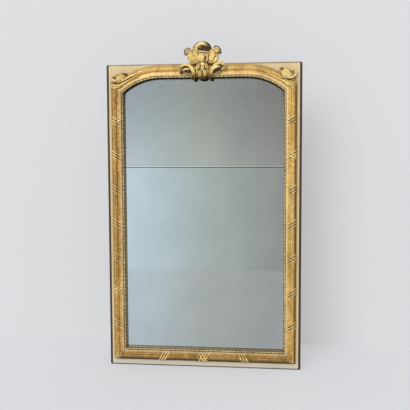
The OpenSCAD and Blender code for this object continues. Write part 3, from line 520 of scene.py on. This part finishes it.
def moulding_ring(outer_painted_shade, flank, valley_dirt_and_shade, lip_shade_and_gesso):
    """The moulding's section: distance from its outer edge, height over the face, and grime
    and painted light. The outer flank's painted shade fades away over the flank's share of the
    round member."""
    ring = [(0, 0, outer_painted_shade), (0, QUIRK_H - 1, outer_painted_shade), (1, QUIRK_H, outer_painted_shade),
            (QUIRK_W - 1, QUIRK_H, outer_painted_shade), (QUIRK_W, 8.2, outer_painted_shade)]
    # The round member is cut into low reeds, with a little dirt in the hollow between two.
    reeds, reed_depth, points = 3, 1.8, 60
    first, last = math.radians(203), math.radians(18)
    for i in range(points + 1):
        share = i / points
        angle = first + (last - first) * share
        hollow = 1 - abs(math.sin(math.pi * reeds * share)) ** 0.6
        radius = TORUS_R - reed_depth * hollow
        flank_painted_shade = outer_painted_shade * min(1, 1.8 - 1.8 * share / flank)
        ring.append((TORUS_U + radius * math.cos(angle), TORUS_R + radius * math.sin(angle),
                     max(0.4 * hollow ** 2, flank_painted_shade)))
    # A shallow valley, then a low round, painted pale as a highlight, that falls steeply to
    # the pearls' flat, which is painted in full shade.
    slope = [(29.8, 16.8, valley_dirt_and_shade), (32.5, 16.2, valley_dirt_and_shade), (35, 16.3, valley_dirt_and_shade),
             (38.5, 17, valley_dirt_and_shade * 0.6), (42, 17.8, -0.12), (46, 18, -0.24),
             (50, 17, -0.24), (52.4, 13.6, 0.2), (53.6, SEAT_H, 1)]
    slope_points = 32
    ring += [tuple(read_rows(slope, k / slope_points)) for k in range(slope_points + 1)]
    # The lip is hollowed back behind its edge, so that the glass runs up to the pearls. Its
    # edge and the rebate's wall are painted in full shade.
    ring += [(MOULDING_W - 0.8, SEAT_H, 1), (MOULDING_W, SEAT_H - 0.8, 1),
             (MOULDING_W - 1.5, -2, lip_shade_and_gesso), (MOULDING_W - LIP_BACK, -REBATE, lip_shade_and_gesso),
             (MOULDING_W - LIP_W, -REBATE, 1), (MOULDING_W - LIP_W, 0, 1)]
    return ring


def mitre(bm, first, second, keep):
    """Saws the moulding off at the upright plane through two points, keeping keep's side."""
    run = Vector((second[0] - first[0], second[1] - first[1], 0))
    normal = run.cross(Vector((0, 0, 1)))
    if normal.dot(Vector((keep[0] - first[0], keep[1] - first[1], 0))) > 0:
        normal.negate()
    cut = bmesh.ops.bisect_plane(bm, geom=[*bm.verts, *bm.edges, *bm.faces], dist=0.001,
                                 plane_co=(*first, 0), plane_no=normal, clear_outer=True)
    rim = [item for item in cut["geom_cut"] if isinstance(item, bmesh.types.BMEdge)]
    bmesh.ops.holes_fill(bm, edges=rim, sides=0)


def hand_worked(bm):
    """The small unevenness of gesso cut by hand, the same wherever two pieces meet."""
    for vert in bm.verts:
        vert.co += noise.noise_vector(vert.co / UNEVEN_OVER) * UNEVEN_BY


def moulding(soil_and_painted_light, corner, turn, drawing, mitres=(), keep=None):
    """One length of moulding: its section, with its outer edge at a corner and turned by so
    many degrees, is drawn along a line or round an arc and sawn off at its mitres."""
    bm = bmesh.new()
    layer = grime_layer(bm)
    place = Matrix.Translation((*corner, FACE_Z)) @ Matrix.Rotation(math.radians(turn), 4, "Z")
    section = []
    for u, height, grime in moulding_ring(*soil_and_painted_light):
        vert = bm.verts.new(place @ Vector((u, 0, height)))
        vert[layer] = grime
        section.append(vert)
    face = bm.faces.new(section)
    bmesh.ops.spin(bm, geom=[face, *face.edges, *face.verts], axis=(0, 0, 1), **drawing)
    for ends in mitres:
        mitre(bm, *ends, keep=keep)
    hand_worked(bm)
    return bm


def straight(run_x, run_y, steps):
    """What spin needs to draw a section along a straight run."""
    return {"angle": 0, "steps": steps, "dvec": (run_x / steps, run_y / steps, 0)}


# Where the mitres cut the sight edge and the outer edge, at the left.
HEAD_MITRE = (-SIGHT_X, SIGHT_CORNER), (-OUTER_X, OUTER_CORNER)
FOOT_MITRE = (-SIGHT_X, SIGHT_FOOT), (-OUTER_X, OUTER_FOOT)
RIGHT_FOOT_MITRE = [(-x, y) for x, y in FOOT_MITRE]
ROUND_THE_ARC = {"cent": (-CROWN_X, ARCH_Y, 0), "angle": math.radians(60), "steps": 40,
                 "dvec": (0, 0, 0)}
# Painted shade on the outer flank and its share of the round member, then dirt and shade in
# the valley, and on the lip's inner face painted shade at the head and some bare gesso at the
# left and the foot.
LEFT_SOIL_AND_SHADE = 0.45, 0.45, 0, -0.3
RIGHT_SOIL_AND_SHADE = 0.65, 0.62, 0.05, 0.2
FOOT_SOIL_AND_SHADE = 0.85, 0.84, 0, -0.3
HEAD_SOIL_AND_SHADE = 0.1, 0.2, 0.08, 1


def stile_moulding(soil_and_painted_light):
    """The left stile's length, between its two mitres."""
    return moulding(soil_and_painted_light, (-OUTER_X, OUTER_FOOT), 0,
                    straight(0, OUTER_CORNER - OUTER_FOOT, steps=90),
                    (HEAD_MITRE, FOOT_MITRE), keep=(-OUTER_X, ARCH_Y))


def shoulder_moulding():
    """The left shoulder's length, from the crown's end to the stile's mitre."""
    return moulding(HEAD_SOIL_AND_SHADE, (-CROWN_X, OUTER_HEAD), -90, ROUND_THE_ARC, (HEAD_MITRE,),
                    keep=(-CROWN_X, OUTER_HEAD))


finished("gilt_moulding_left", stile_moulding(LEFT_SOIL_AND_SHADE), gilt_left,
         "moulding_left")
finished("gilt_moulding_right", stile_moulding(RIGHT_SOIL_AND_SHADE), gilt_right,
         "moulding_right", mirrored=True)
finished("gilt_moulding_foot",
         moulding(FOOT_SOIL_AND_SHADE, (OUTER_X, OUTER_FOOT), 90, straight(-2 * OUTER_X, 0, steps=60),
                  (FOOT_MITRE, RIGHT_FOOT_MITRE), keep=(0, OUTER_FOOT)),
         gilt_foot, "moulding_bottom")
finished("gilt_moulding_crown",
         moulding(HEAD_SOIL_AND_SHADE, (-CROWN_X, OUTER_HEAD), -90, straight(2 * CROWN_X, 0, steps=30)),
         gilt_head, "moulding_crown")
finished("gilt_moulding_shoulder_left", shoulder_moulding(), gilt_head,
         "moulding_shoulder_left")
finished("gilt_moulding_shoulder_right", shoulder_moulding(), gilt_head,
         "moulding_shoulder_right", mirrored=True)


# ---- Ribbon ties ----

def ribbon(bm, rise, shift, wide, lift=1.2, grime=0.0):
    """A ribbon wound over the round member and on to the low round, climbing by rise. Lift
    is how far its middle lies above the wood."""
    reach = TORUS_R + lift
    path = [(TORUS_U + reach * math.cos(math.radians(turn)),
             TORUS_R + reach * math.sin(math.radians(turn))) for turn in range(190, 29, -20)]
    path += [(u, h + lift) for u, h in ((33.5, 16.8), (39, 17.2), (43, 16))]
    rows = [[u, shift + rise * (u / TIE_REACH - 0.5), h, wide, 1.5] for u, h in path]

    def flat_cut(angle, t):
        across, out = math.cos(angle), math.sin(angle)
        square = max(abs(across), abs(out)) ** 0.6
        return across / square, out / square, 0, 0
    return carve(bm, rows, flat_cut, around=12, steps=3, grime=grime)


def tie(bm, place, crossed):
    """Three bright ribbons with two sunk between them that are painted dark as shadow, which
    two more bright ones cross on some of the ties."""
    rise = 26
    verts = []
    for shift in (-14, 0, 14):
        verts += ribbon(bm, -rise, shift, 3.7)
    for shift in (-7, 7):
        verts += ribbon(bm, -rise, shift, 3.9, -0.4, 0.7)
    if crossed:
        for shift in (-8, 9):
            verts += ribbon(bm, rise, shift, 3.2, 1.8)
    bmesh.ops.transform(bm, matrix=place, verts=verts)


def stile_ties(crossed):
    """A stile's ties, counted from the foot, of which those in crossed are crossed."""
    bm = bmesh.new()
    for i in range(TIES_A_SIDE):
        place = Matrix.Translation((-OUTER_X, TIE_FIRST + i * TIE_PITCH, FACE_Z))
        tie(bm, place, i in crossed)
    return bm


def foot_ties():
    """The three ties at the foot: the middle one is crossed, and the right one leans the
    other way."""
    bm = bmesh.new()
    turn = Matrix.Rotation(math.radians(90), 4, "Z")
    for step in (-1, 0, 1):
        flip = Matrix.Scale(-1, 4, (0, 1, 0)) if step > 0 else Matrix()
        tie(bm, Matrix.Translation((step * TIE_STEP, OUTER_FOOT, FACE_Z)) @ turn @ flip,
            step == 0)
    return bm


finished("carved_ties_left", stile_ties((1, 6)), gilt_ties,
         "ribbon_ties_left")
finished("carved_ties_right", stile_ties((2, 5)), gilt_ties,
         "ribbon_ties_right", mirrored=True)
finished("carved_ties_foot", foot_ties(), gilt_ties,
         "ribbon_ties_bottom")


# ---- Corner leaves ----

def corner_leaves(eyes, gap, fan, hook):
    """An acanthus spray that springs from the mitre and sweeps in over the corner, with a
    hooked lobe on the outside, over low bands that run into the head. An eye is a drilled
    hole, painted dark as its shade: x, y, radius. The gap under the fan is a line painted dark
    as shadow, through points of x, y, z, and the fan and the hook are rows for carve."""
    bm = bmesh.new()
    # The ground that all of it stands on, painted darker as shade under the leaves.
    ground = [[-438, 1450, 33, 12, 13], [-438, 1464, 34, 24, 13], [-432, 1480, 35, 32, 11],
              [-426, 1496, 33, 34, 9], [-418, 1508, 31, 24, 6], [-412, 1515, 29, 12, 4]]
    carve(bm, ground, round_cut, around=32, grime=0.4)
    # Low bands under the gap: the stile's round member turned in towards the head.
    long_band = [[-472, 1474, 39, 3.5, 5, 0.3], [-458, 1466, 45, 5, 6, 0],
                 [-440, 1463, 48, 5, 6, 0], [-420, 1467, 50, 5, 5.5, 0],
                 [-400, 1477, 50, 4.5, 4.5, 0], [-376, 1490, 49, 3.5, 4, 0],
                 [-350, 1503, 48.5, 3, 4, 0], [-322, 1511, 47, 2, 4, 0]]
    short_band = [[-470, 1461, 40, 3.5, 5, 0.3], [-452, 1453, 46, 4.5, 5.5, 0],
                  [-434, 1455, 49.5, 4.5, 5, 0], [-414, 1464, 49, 3, 3, 0.2]]
    for band in (long_band, short_band):
        carve(bm, band, round_cut, around=20, steps=8)
    even_member(bm, gap, 1.5, 4, around=12, grime=0.95)
    # The fan: one broad, low leaf with shallow flutes, from its root by the hook.
    carve(bm, fan, gadroon_cut(3, 0.28, 0.32), around=72, steps=8)
    # The edge that rolls over the gap, painted a little pale as a highlight, and the hooked
    # lobe at the outer corner.
    over_gap = [(x, y + 6.5, z + 1) for x, y, z in gap]
    even_member(bm, over_gap, 2.6, 4, around=16, grime=-0.1)
    carve(bm, hook, channel_cut, around=24, steps=7)
    for x, y, radius in eyes:
        button(bm, x, y, 40, radius, 8, grime=1)
    hand_worked(bm)
    return bm


def foot_leaves():
    """A small three-lobed leaf over the mitre at the foot."""
    bm = bmesh.new()
    root = Vector((-461, 45, 51.4))
    # Along a lobe: the share of its reach, its half width and height, and its lift.
    lobe = ((0, 3, 3, 0), (0.35, 6.5, 5, 1.2), (0.7, 5, 4.5, 0.8), (0.9, 3, 3, -0.8),
            (1, 0.3, 1, -2.5))
    for turn, reach in ((22, 40), (45, 50), (68, 40)):
        heading = Vector((math.cos(math.radians(turn)), math.sin(math.radians(turn)), 0))
        rows = []
        for share, wide, high, lift in lobe:
            spot = root + heading * reach * share
            rows.append([spot.x, spot.y, spot.z + lift, wide, high])
        carve(bm, rows, leaf_cut(3, 0.35, 0.6, 0.25), around=20, steps=7)
    button(bm, -459, 47, 51.5, 5.5, 5)
    return bm


LEFT_SPRAY = {
    "eyes": ((-453, 1501, 4.5), (-463, 1506, 3), (-411, 1523, 4.5), (-401, 1521, 4),
             (-391, 1518, 4.5), (-470, 1475, 4.5)),
    "gap": ((-466, 1485, 44), (-452, 1477, 47), (-436, 1473, 49), (-418, 1476, 49.5),
            (-400, 1484, 49), (-376, 1497, 47.5), (-350, 1510, 45.5), (-322, 1519, 42)),
    "fan": ((-455, 1486, 41, 5, 4, 0.1), (-446, 1489, 44, 9, 5, 0.05),
            (-434, 1495, 45, 12.5, 5.5, 0), (-420, 1502, 44, 15, 6, 0),
            (-406, 1509, 41, 15, 6, 0.15), (-395, 1513, 36, 10, 5, 0.4)),
    "hook": ((-438, 1487, 45, 3.5, 4.5, 0), (-452, 1489, 47, 4.5, 5, 0),
             (-463, 1495, 45, 4, 4.5, 0.1), (-466, 1501, 42, 2.5, 3.5, 0.3)),
}
RIGHT_SPRAY = {
    "eyes": ((-396, 1537, 5), (-404, 1530, 4), (-442, 1522, 3.5), (-459, 1497, 3.5)),
    "gap": ((-468, 1492, 41), (-458, 1491, 46), (-446, 1484, 48), (-430, 1481, 49.5),
            (-412, 1485, 49), (-398, 1490, 48)),
    "fan": ((-452, 1488, 41, 6, 4, 0.1), (-444, 1493, 45, 11, 5, 0.05),
            (-432, 1502, 46.5, 17, 5.5, 0), (-418, 1514, 45, 20, 6, 0.05),
            (-406, 1526, 41, 19, 6, 0.15), (-399, 1534, 36, 12, 5, 0.4)),
    "hook": ((-432, 1488, 46, 4, 5, -0.1), (-448, 1491, 49, 5.5, 6, -0.2),
             (-463, 1502, 47, 5, 6, -0.3), (-469, 1513, 43, 4.5, 5, -0.2),
             (-465, 1523, 40, 4, 5, 0.1), (-457, 1525, 38, 3.5, 4.5, 0.3),
             (-452, 1519, 37, 2.5, 3, 0.5)),
}
finished("acanthus_corner_left", corner_leaves(**LEFT_SPRAY), gilt_carving,
         "corner_spray_left")
finished("acanthus_corner_right", corner_leaves(**RIGHT_SPRAY), gilt_carving,
         "corner_spray_right", mirrored=True)
finished("foot_leaf_carved_left", foot_leaves(), gilt_ties,
         "foot_leaf_left")
finished("foot_leaf_carved_right", foot_leaves(), gilt_ties,
         "foot_leaf_right", mirrored=True)


# ---- Crest ----

def crest_hood():
    """A canopy curled over a deep hollow painted dark as shade, painted pale on top as a
    highlight, with a rim round it painted dark as shade that thickens to the right, and a
    rolled rim below the hollow painted pale as a highlight."""
    bm = bmesh.new()
    canopy = [[-37, 1626, 42, 9, 8, 0.2], [-33, 1638, 47, 12, 12, 0.05],
              [-26, 1652, 51, 12, 14, -0.1], [-9, 1663.5, 53, 10.5, 14, -0.3],
              [11, 1663, 53, 10.5, 14, -0.15], [25, 1656, 51, 9, 13, 0.5],
              [37, 1643, 48, 10, 12, 1], [42, 1629, 44, 8, 9, 0.5]]
    carve(bm, canopy, canopy_cut, around=44, steps=8)
    outer_rim = [[-45, 1636, 45, 2.4, 4], [-43, 1647, 47, 3, 5], [-34, 1660, 50, 3.2, 5],
                 [-21, 1670, 51, 3, 5], [-8, 1672.8, 52, 3, 5], [11, 1671, 55, 4.5, 6],
                 [25, 1663, 57, 7, 8], [36, 1652, 55, 7.5, 8], [44, 1640, 49, 5, 6],
                 [48, 1631, 44, 3, 4]]
    carve(bm, outer_rim, round_cut, around=16, steps=5, grime=0.95)
    # The hollow's floor, a patch painted dark as its shade, with a lighter patch on its left.
    button(bm, 6, 1639, 52, 26, 5, grime=0.98, segments=32, tall=17)
    button(bm, -11, 1646, 55.5, 9, 3, grime=0.62, tall=6)
    lower_rim = [[-20, 1630, 52, 3, 4], [-11, 1626, 58, 3.2, 5], [2, 1624.5, 60, 3.2, 5],
                 [16, 1623, 59, 3.2, 5], [30, 1622, 54, 3, 4]]
    carve(bm, lower_rim, round_cut, steps=8, grime=-0.4)
    left_fold = [[-24, 1648, 58, 3, 4], [-26, 1636, 58.5, 4.5, 4], [-27, 1620, 53, 4, 4]]
    carve(bm, left_fold, round_cut, around=14, grime=-0.1)
    hand_worked(bm)
    return bm


# The shell's field from its foot up: y, half width, half height.
SHELL_FIELD = ((1563, 34, 6), (1570, 58, 11), (1582, 74, 15), (1596, 78, 16),
               (1610, 74, 16), (1622, 60, 14), (1634, 44, 11), (1642, 32, 6))
SHELL_LEAVES = (
    ((-34, 1571, 43.5, 5, 4), (-52, 1579, 48.5, 9, 6), (-66, 1590, 48.5, 10, 6),
     (-71, 1604, 42.5, 4, 3)),
    ((-24, 1573, 47.5, 7, 5), (-37, 1584, 53.5, 14, 8), (-50, 1599, 54.5, 17, 8.5),
     (-57, 1614, 51.5, 14, 7), (-55, 1628, 46.5, 9, 6), (-50, 1638, 41.5, 3, 3)),
    ((-15, 1577, 49.5, 6, 5), (-23, 1592, 54.5, 11, 7.5), (-31, 1608, 54.5, 12, 7.5),
     (-37, 1624, 52.5, 11, 7), (-40, 1637, 49.5, 8, 5), (-41, 1647, 45.5, 3, 3)),
    ((-3, 1573, 51.5, 9, 6), (-4, 1585, 56.5, 17, 8.5), (-3, 1599, 57.5, 19, 9),
     (0, 1612, 52.5, 14, 7), (1, 1621, 46.5, 6, 3)),
    ((36, 1573, 48.5, 7, 5), (42, 1584, 54.5, 13, 8), (49, 1600, 55.5, 16, 8.5),
     (51, 1615, 53.5, 14, 7.5), (46, 1630, 50.5, 9, 6), (42, 1642, 45.5, 4, 3)),
    ((48, 1571, 44.5, 6, 5), (64, 1581, 50.5, 11, 7), (76, 1594, 49.5, 10, 7),
     (81, 1608, 42.5, 5, 4)),
)


def crest_shell():
    """A fanned shell: a field painted darker as shade under ragged, swelling leaves, with a
    rib beside the middle one painted pale as a highlight, a crease painted dark, and a rolled
    foot over crevices painted as dark shadow."""
    bm = bmesh.new()
    field = [[6, y, CREST_FRONT + 1, wide, high] for y, wide, high in SHELL_FIELD]
    carve(bm, field, gadroon_cut(9, 0.16, 0.1), around=110, steps=5, grime=0.08)
    for leaf in SHELL_LEAVES:
        carve(bm, leaf, leaf_cut(3, 0.12, 0.4, 0.12, 0.3), around=32, steps=9)
    rib = [[22, 1571, 55, 3, 4], [26, 1584, 61, 4, 5], [28, 1599, 60, 4, 4.5],
           [29, 1612, 54, 3, 3]]
    carve(bm, rib, round_cut, around=16, grime=-0.2)
    crease = [[17, 1574, 53, 2, 3], [18.5, 1588, 56, 2, 3], [20, 1602, 55, 1.6, 3]]
    carve(bm, crease, round_cut, around=12, grime=0.45)
    rolled_foot = [[-64, 1576, 39, 3, 4], [-48, 1569, 45, 5, 6], [-30, 1573, 49, 6, 6],
                   [-14, 1578, 50, 3, 4], [10, 1578, 51, 3, 4], [30, 1573, 50, 4, 5],
                   [48, 1571, 46, 5, 6], [66, 1578, 40, 3, 4]]
    carve(bm, rolled_foot, round_cut, steps=8, grime=-0.1)
    # Small drilled eyes and the crevices under the foot, as patches painted dark as their
    # shade.
    for x, y, z in ((-55, 1629, 54), (-45, 1607, 62), (64, 1600, 57)):
        button(bm, x, y, z, 2.6, 3, grime=0.6)
    button(bm, 11, 1570.5, 55, 22, 5, grime=0.9, tall=2.4)
    for x, y in ((-41, 1560.5), (41, 1562)):
        button(bm, x, y, 51, 8, 6, grime=0.9, tall=4.5)
    hand_worked(bm)
    return bm


def crest_ear(curl, rim, eye, pad):
    """A leaf that rises from the shell's shoulder and droops over outwards, inside a thin rim
    painted dark as shade, with a drilled eye painted dark as its shade. Its face is painted a
    little pale as a highlight, and so is a pad that fills the curl. The curl's rows end in a
    half width."""
    bm = bmesh.new()
    rows = [[*place, wide, wide * 0.9] for *place, wide in curl]
    carve(bm, rows, leaf_cut(3, 0.15, 0.4, 0.2), around=28, steps=9, grime=-0.15)
    even_member(bm, rim, 3, 5, around=14, grime=0.9)
    button(bm, *eye, 4.5, 8, grime=0.9)
    button(bm, *pad, 12, 7, grime=-0.1)
    hand_worked(bm)
    return bm


# A scroll's half widths and painted shade, from the curled end of its bow to the foot of its
# leg, which is painted near black.
SCROLL_WIDTHS = 5, 8, 8, 7.5, 7, 7, 7.5, 8.5, 9.5, 10, 10.5
SCROLL_PAINTED_SHADE = 0.35, 0.35, 0.35, 0, 0, 0, 0, 0, 0.2, 0.6, 1


def crest_scroll(line, floor, lights, darks, bead):
    """A hollow-faced scroll: a thin bow whose outer end curls in, and a stout leg over the
    glass, both painted darker at their ends as shade. Inside the bow lie a floor painted dark
    as shade, folds painted pale as highlights, creases painted dark as shadow, and a bead by
    the end of the curl. The line's eleven points and the floor are x, y, the folds' and
    creases' are x, y, z and a half width, and the bead is x, y, z, radius and its dirt and
    painted light."""
    bm = bmesh.new()
    rows = [[x, y, SCROLL_Z, wide, wide + 2, dirt_and_painted_light]
            for (x, y), wide, dirt_and_painted_light in zip(line, SCROLL_WIDTHS, SCROLL_PAINTED_SHADE)]
    foot_x, foot_y = line[-1]
    rows.append([foot_x + 1, foot_y - 5, SCROLL_Z - 2, 8, 8, 1])
    carve(bm, rows, channel_cut, around=30, steps=6)
    button(bm, *floor, 49, 23, 5, grime=0.55, segments=32, tall=17)
    carve(bm, [[*row, 4] for row in darks], round_cut, around=16, grime=1)
    carve(bm, [[*row, 4.5] for row in lights], round_cut, around=16, grime=-0.35)
    *place, radius, dirt_and_painted_light = bead
    button(bm, *place, radius, radius, grime=dirt_and_painted_light)
    hand_worked(bm)
    return bm


def crest_boss():
    """A bud painted dark as shade, in a husk of seven hanging leaves, with a lobe above
    painted pale as a highlight and an underside painted dark as shade."""
    bm = bmesh.new()
    bud = [[1, 1487, 52, 14, 5, 1], [1, 1492, 54, 22, 9, 1], [1, 1499, 55, 26, 12, 0.9],
           [1, 1510, 56, 28, 14, 0.85], [1, 1525, 56, 29, 14.5, 0.85],
           [1, 1541, 56, 29, 14, 0.85], [1, 1556, 54, 27, 11, 0.5], [1, 1567, 52, 17, 6, 0.3]]
    carve(bm, bud, round_cut, around=40, steps=8)
    # Two leaves that hang down the bud's flanks, and two broad ones on its lower half.
    for lean, top, tip, wide, z in ((-25, 1552, 1508, 7, 60), (26, 1552, 1508, 7, 60),
                                    (-12, 1532, 1497, 10.5, 66), (13, 1534, 1499, 10.5, 66)):
        carve(bm, [[2 + lean * 0.95, top, z - 1, wide * 0.7, 4, 0.1],
                   [2 + lean, tip + 24, z + 1.5, wide, 5, 0.05],
                   [2 + lean, tip + 10, z + 1, wide * 0.9, 4, 0.2],
                   [2 + lean * 0.9, tip, z - 4, 2, 2, 0.6]],
              leaf_cut(2, 0.12, 0.5, 0.25), around=24, steps=8)
    # Three leaves that hang from its top, and the lobe that they spring from.
    for lean, tip, wide in ((-21, 1533, 9.5), (1, 1524, 9), (23, 1535, 9)):
        carve(bm, [[2 + lean * 0.5, 1566, 61, wide * 0.6, 4, 0],
                   [2 + lean * 0.85, 1555, 68, wide, 5, 0],
                   [2 + lean * 1.05, tip + 9, 69.2, wide * 0.9, 4.5, 0],
                   [2 + lean * 1.1, tip, 66, 1, 2, 0.2]],
              leaf_cut(3, 0.15, 0.5, 0.3), around=24, steps=8)
    lobe = [[3, 1570, 58, 6, 4], [3, 1564, 66, 11, 5], [3, 1556, 69, 8, 4]]
    carve(bm, lobe, round_cut, grime=-0.1)
    hand_worked(bm)
    return bm


LEFT_EAR = {
    "curl": [(-81, 1611, 42, 5), (-83, 1620, 45, 7), (-79, 1631, 47, 8.5),
             (-70, 1635, 48, 8.5), (-61, 1630, 46, 8), (-53, 1620, 42, 7)],
    "rim": [(-84, 1610, 44), (-90, 1620, 46), (-87, 1634, 48), (-77, 1642.5, 49),
            (-65, 1641, 48), (-56, 1632, 45)],
    "eye": (-82, 1611, 46),
    "pad": (-71, 1625, 43),
}
RIGHT_EAR = {
    "curl": [(-88, 1613, 42, 5), (-88, 1623, 45, 6.5), (-82, 1635, 47, 7.5),
             (-72, 1641, 48, 8), (-62, 1635, 46, 8), (-54, 1622, 42, 7)],
    "rim": [(-90, 1612, 44), (-95, 1622, 46), (-91, 1636, 48), (-81, 1647, 49),
            (-70, 1651, 49), (-59, 1644, 45)],
    "eye": (-87, 1621, 50),
    "pad": (-71, 1630, 43),
}
LEFT_SCROLL = {
    "line": [(-110, 1524), (-113, 1535), (-110, 1547), (-101, 1556), (-88, 1561),
             (-74, 1560), (-60, 1552), (-50, 1539), (-44, 1524), (-42, 1508), (-43, 1492)],
    "floor": (-75, 1527),
    "lights": [(-97, 1531, 55, 2), (-88, 1538, 57, 4.5), (-75, 1540, 57, 4.5),
               (-63, 1535, 55, 2)],
    "darks": [(-99, 1545, 53, 2.5), (-88, 1551, 54, 3), (-72, 1549, 54, 2),
              (-60, 1539, 53, 2), (-57, 1529, 52, 4), (-70, 1526, 54, 5.5),
              (-88, 1528, 53, 3)],
    "bead": (-106, 1521, 50, 8, 0.9),
}
RIGHT_SCROLL = {
    "line": [(-111, 1535), (-118, 1544), (-117, 1555), (-108, 1563), (-94, 1567),
             (-78, 1564), (-63, 1554), (-52, 1540), (-46, 1524), (-43, 1508), (-41, 1493)],
    "floor": (-76, 1530),
    "lights": [(-57, 1534, 57, 2.5), (-65, 1543, 61, 5), (-77, 1549, 62, 5.5),
               (-90, 1550, 58, 2.5)],
    "darks": [(-55, 1519, 53, 3.5), (-68, 1528, 55, 5), (-83, 1535, 56, 6),
              (-96, 1542, 56, 4), (-97, 1552, 56, 3), (-84, 1559, 55, 2),
              (-68, 1554, 55, 2)],
    "bead": (-103, 1537, 58, 5, -0.4),
}
finished("crest_hood_carved", crest_hood(), gilt_carving, "crest_hood")
finished("crest_shell_carved", crest_shell(), gilt_carving, "crest_shell")
finished("crest_ear_carved_left", crest_ear(**LEFT_EAR), gilt_carving,
         "crest_ear_left")
finished("crest_ear_carved_right", crest_ear(**RIGHT_EAR), gilt_carving,
         "crest_ear_right", mirrored=True)
finished("crest_scroll_carved_left", crest_scroll(**LEFT_SCROLL), gilt_carving,
         "crest_scroll_left")
finished("crest_scroll_carved_right", crest_scroll(**RIGHT_SCROLL), gilt_carving,
         "crest_scroll_right", mirrored=True)
finished("crest_boss_carved", crest_boss(), gilt_carving, "crest_boss")


# ---- Floor, backdrop, light and camera ----

def seen_directly(tree):
    """1 where a ray comes from the camera or a mirror, and 0 where it lights a surface."""
    path = add(tree, "LightPath")
    either = add(tree, "Math", {0: path.outputs["Is Camera Ray"],
                                1: path.outputs["Is Glossy Ray"]}, operation="MAXIMUM")
    return add(tree, "Math", {0: either.outputs[0], 1: path.outputs["Is Transmission Ray"]},
               operation="MAXIMUM").outputs[0]


def pale_paint(tree, _where, colour, shown, rough):
    """Matt pale paint, half of whose look is a fixed colour that lights nothing. It is clear
    from behind, so that it never hides the mirror's back."""
    lit = add(tree, "BsdfPrincipled", {"Base Color": colour, "Roughness": rough})
    fixed = add(tree, "Emission", {"Color": shown})
    half = add(tree, "Math", {0: seen_directly(tree), 1: 0.5}, operation="MULTIPLY")
    front = add(tree, "MixShader", {0: half.outputs[0], 1: lit.outputs[0],
                                    2: fixed.outputs[0]})
    behind = add(tree, "NewGeometry").outputs["Backfacing"]
    clear = add(tree, "BsdfTransparent")
    return add(tree, "MixShader", {0: behind, 1: front.outputs[0], 2: clear.outputs[0]})


def stage_sheet(name, half_wide, half_long, place, turn, material):
    """A flat sheet of the stage, tilted by so many degrees about x."""
    bm = bmesh.new()
    bmesh.ops.create_grid(bm, x_segments=1, y_segments=1, size=1)
    bmesh.ops.transform(bm, verts=bm.verts, matrix=Matrix.Translation(place)
                        @ Matrix.Rotation(math.radians(turn), 4, "X")
                        @ Matrix.Diagonal((half_wide, half_long, 1, 1)))
    piece = object_of(name, bm, material)


# The stage in metres: the backdrop stands behind the mirror, on the floor's far edge.
WALL_Y, FLOOR_FRONT = 0.45, -2.9
STAGE_HALF_WIDE, WALL_HALF_TALL = 6, 2.5
stage_sheet("floor", STAGE_HALF_WIDE, (WALL_Y - FLOOR_FRONT) / 2,
            (0, (WALL_Y + FLOOR_FRONT) / 2, 0), 0,
            material_of("pale_floor", pale_paint, "#D2D3D6", "#E9EBEE", rough=0.6))
stage_sheet("backdrop", STAGE_HALF_WIDE, WALL_HALF_TALL, (0, WALL_Y, WALL_HALF_TALL), 90,
            material_of("pale_wall", pale_paint, "#D6D7D9", "#DCDDDF", rough=0.9))


def pale_surround():
    """A world of plain, white light, which the glass and the gold reflect in dimmer tones."""
    world = bpy.data.worlds.new("pale_surround")
    world.use_nodes = True
    tree = world.node_tree
    tree.nodes.clear()
    heading = add(tree, "TexCoord").outputs["Generated"]
    axes = add(tree, "SeparateXYZ", {"Vector": heading})
    # It is paler to the left, and darker from the horizon up.
    sideways = add(tree, "MapRange", {"Value": axes.outputs["X"], "From Min": -0.24,
                                      "From Max": 0.03})
    side_tone = add(tree, "ValToRGB", {"Fac": sideways.outputs[0]},
                    [(0.0, "#F4FBFF"), (0.5, "#E2EAEC"), (1.0, "#C4C8C2")])
    upwards = add(tree, "MapRange", {"Value": axes.outputs["Z"], "From Min": -0.02,
                                     "From Max": 0.6})
    up_tone = add(tree, "ValToRGB", {"Fac": upwards.outputs[0]},
                  [(0.0, "#FFFFFF"), (0.16, "#DCDCDC"), (1.0, "#5A5650")])
    tone = add(tree, "Mix", {0: 1.0, 6: side_tone.outputs[0], 7: up_tone.outputs[0]}, **TIMES)
    shown = add(tree, "Background", {"Color": tone.outputs[2], "Strength": 1.0})
    light = add(tree, "Background", {"Color": "#FFFFFF", "Strength": 0.78})
    both = add(tree, "MixShader", {0: seen_directly(tree), 1: light.outputs[0],
                                   2: shown.outputs[0]})
    add(tree, "OutputWorld", {"Surface": both.outputs[0]})
    return world


bpy.context.scene.world = pale_surround()

# One broad, soft light, from the left, above and in front.
side_light = bpy.data.lights.new("soft_side_light", "SUN")
side_light.energy = 1.45
side_light.angle = math.radians(35)
holder = bpy.data.objects.new("soft_side_light", side_light)
holder.rotation_euler = Vector((0.3, 0.8, -0.42)).to_track_quat("-Z", "Y").to_euler()
bpy.context.scene.collection.objects.link(holder)

# The camera that the panel's four corners give, with its focal length in the photograph's
# pixels. Its place is in metres and its turns in degrees.
FRAME_PX, FOCAL_PX, SENSOR_MM = 410, 700, 36
camera = bpy.data.cameras.new("camera")
camera.sensor_width = SENSOR_MM
camera.lens = SENSOR_MM * FOCAL_PX / FRAME_PX
viewer = bpy.data.objects.new("camera", camera)
viewer.location = (0.4409, -3.5859, 1.1416)
viewer.rotation_euler = [math.radians(turn) for turn in (85.364, 0.239, 6.908)]
bpy.context.scene.collection.objects.link(viewer)
bpy.context.scene.camera = viewer
bpy.context.scene.view_settings.view_transform = "Standard"
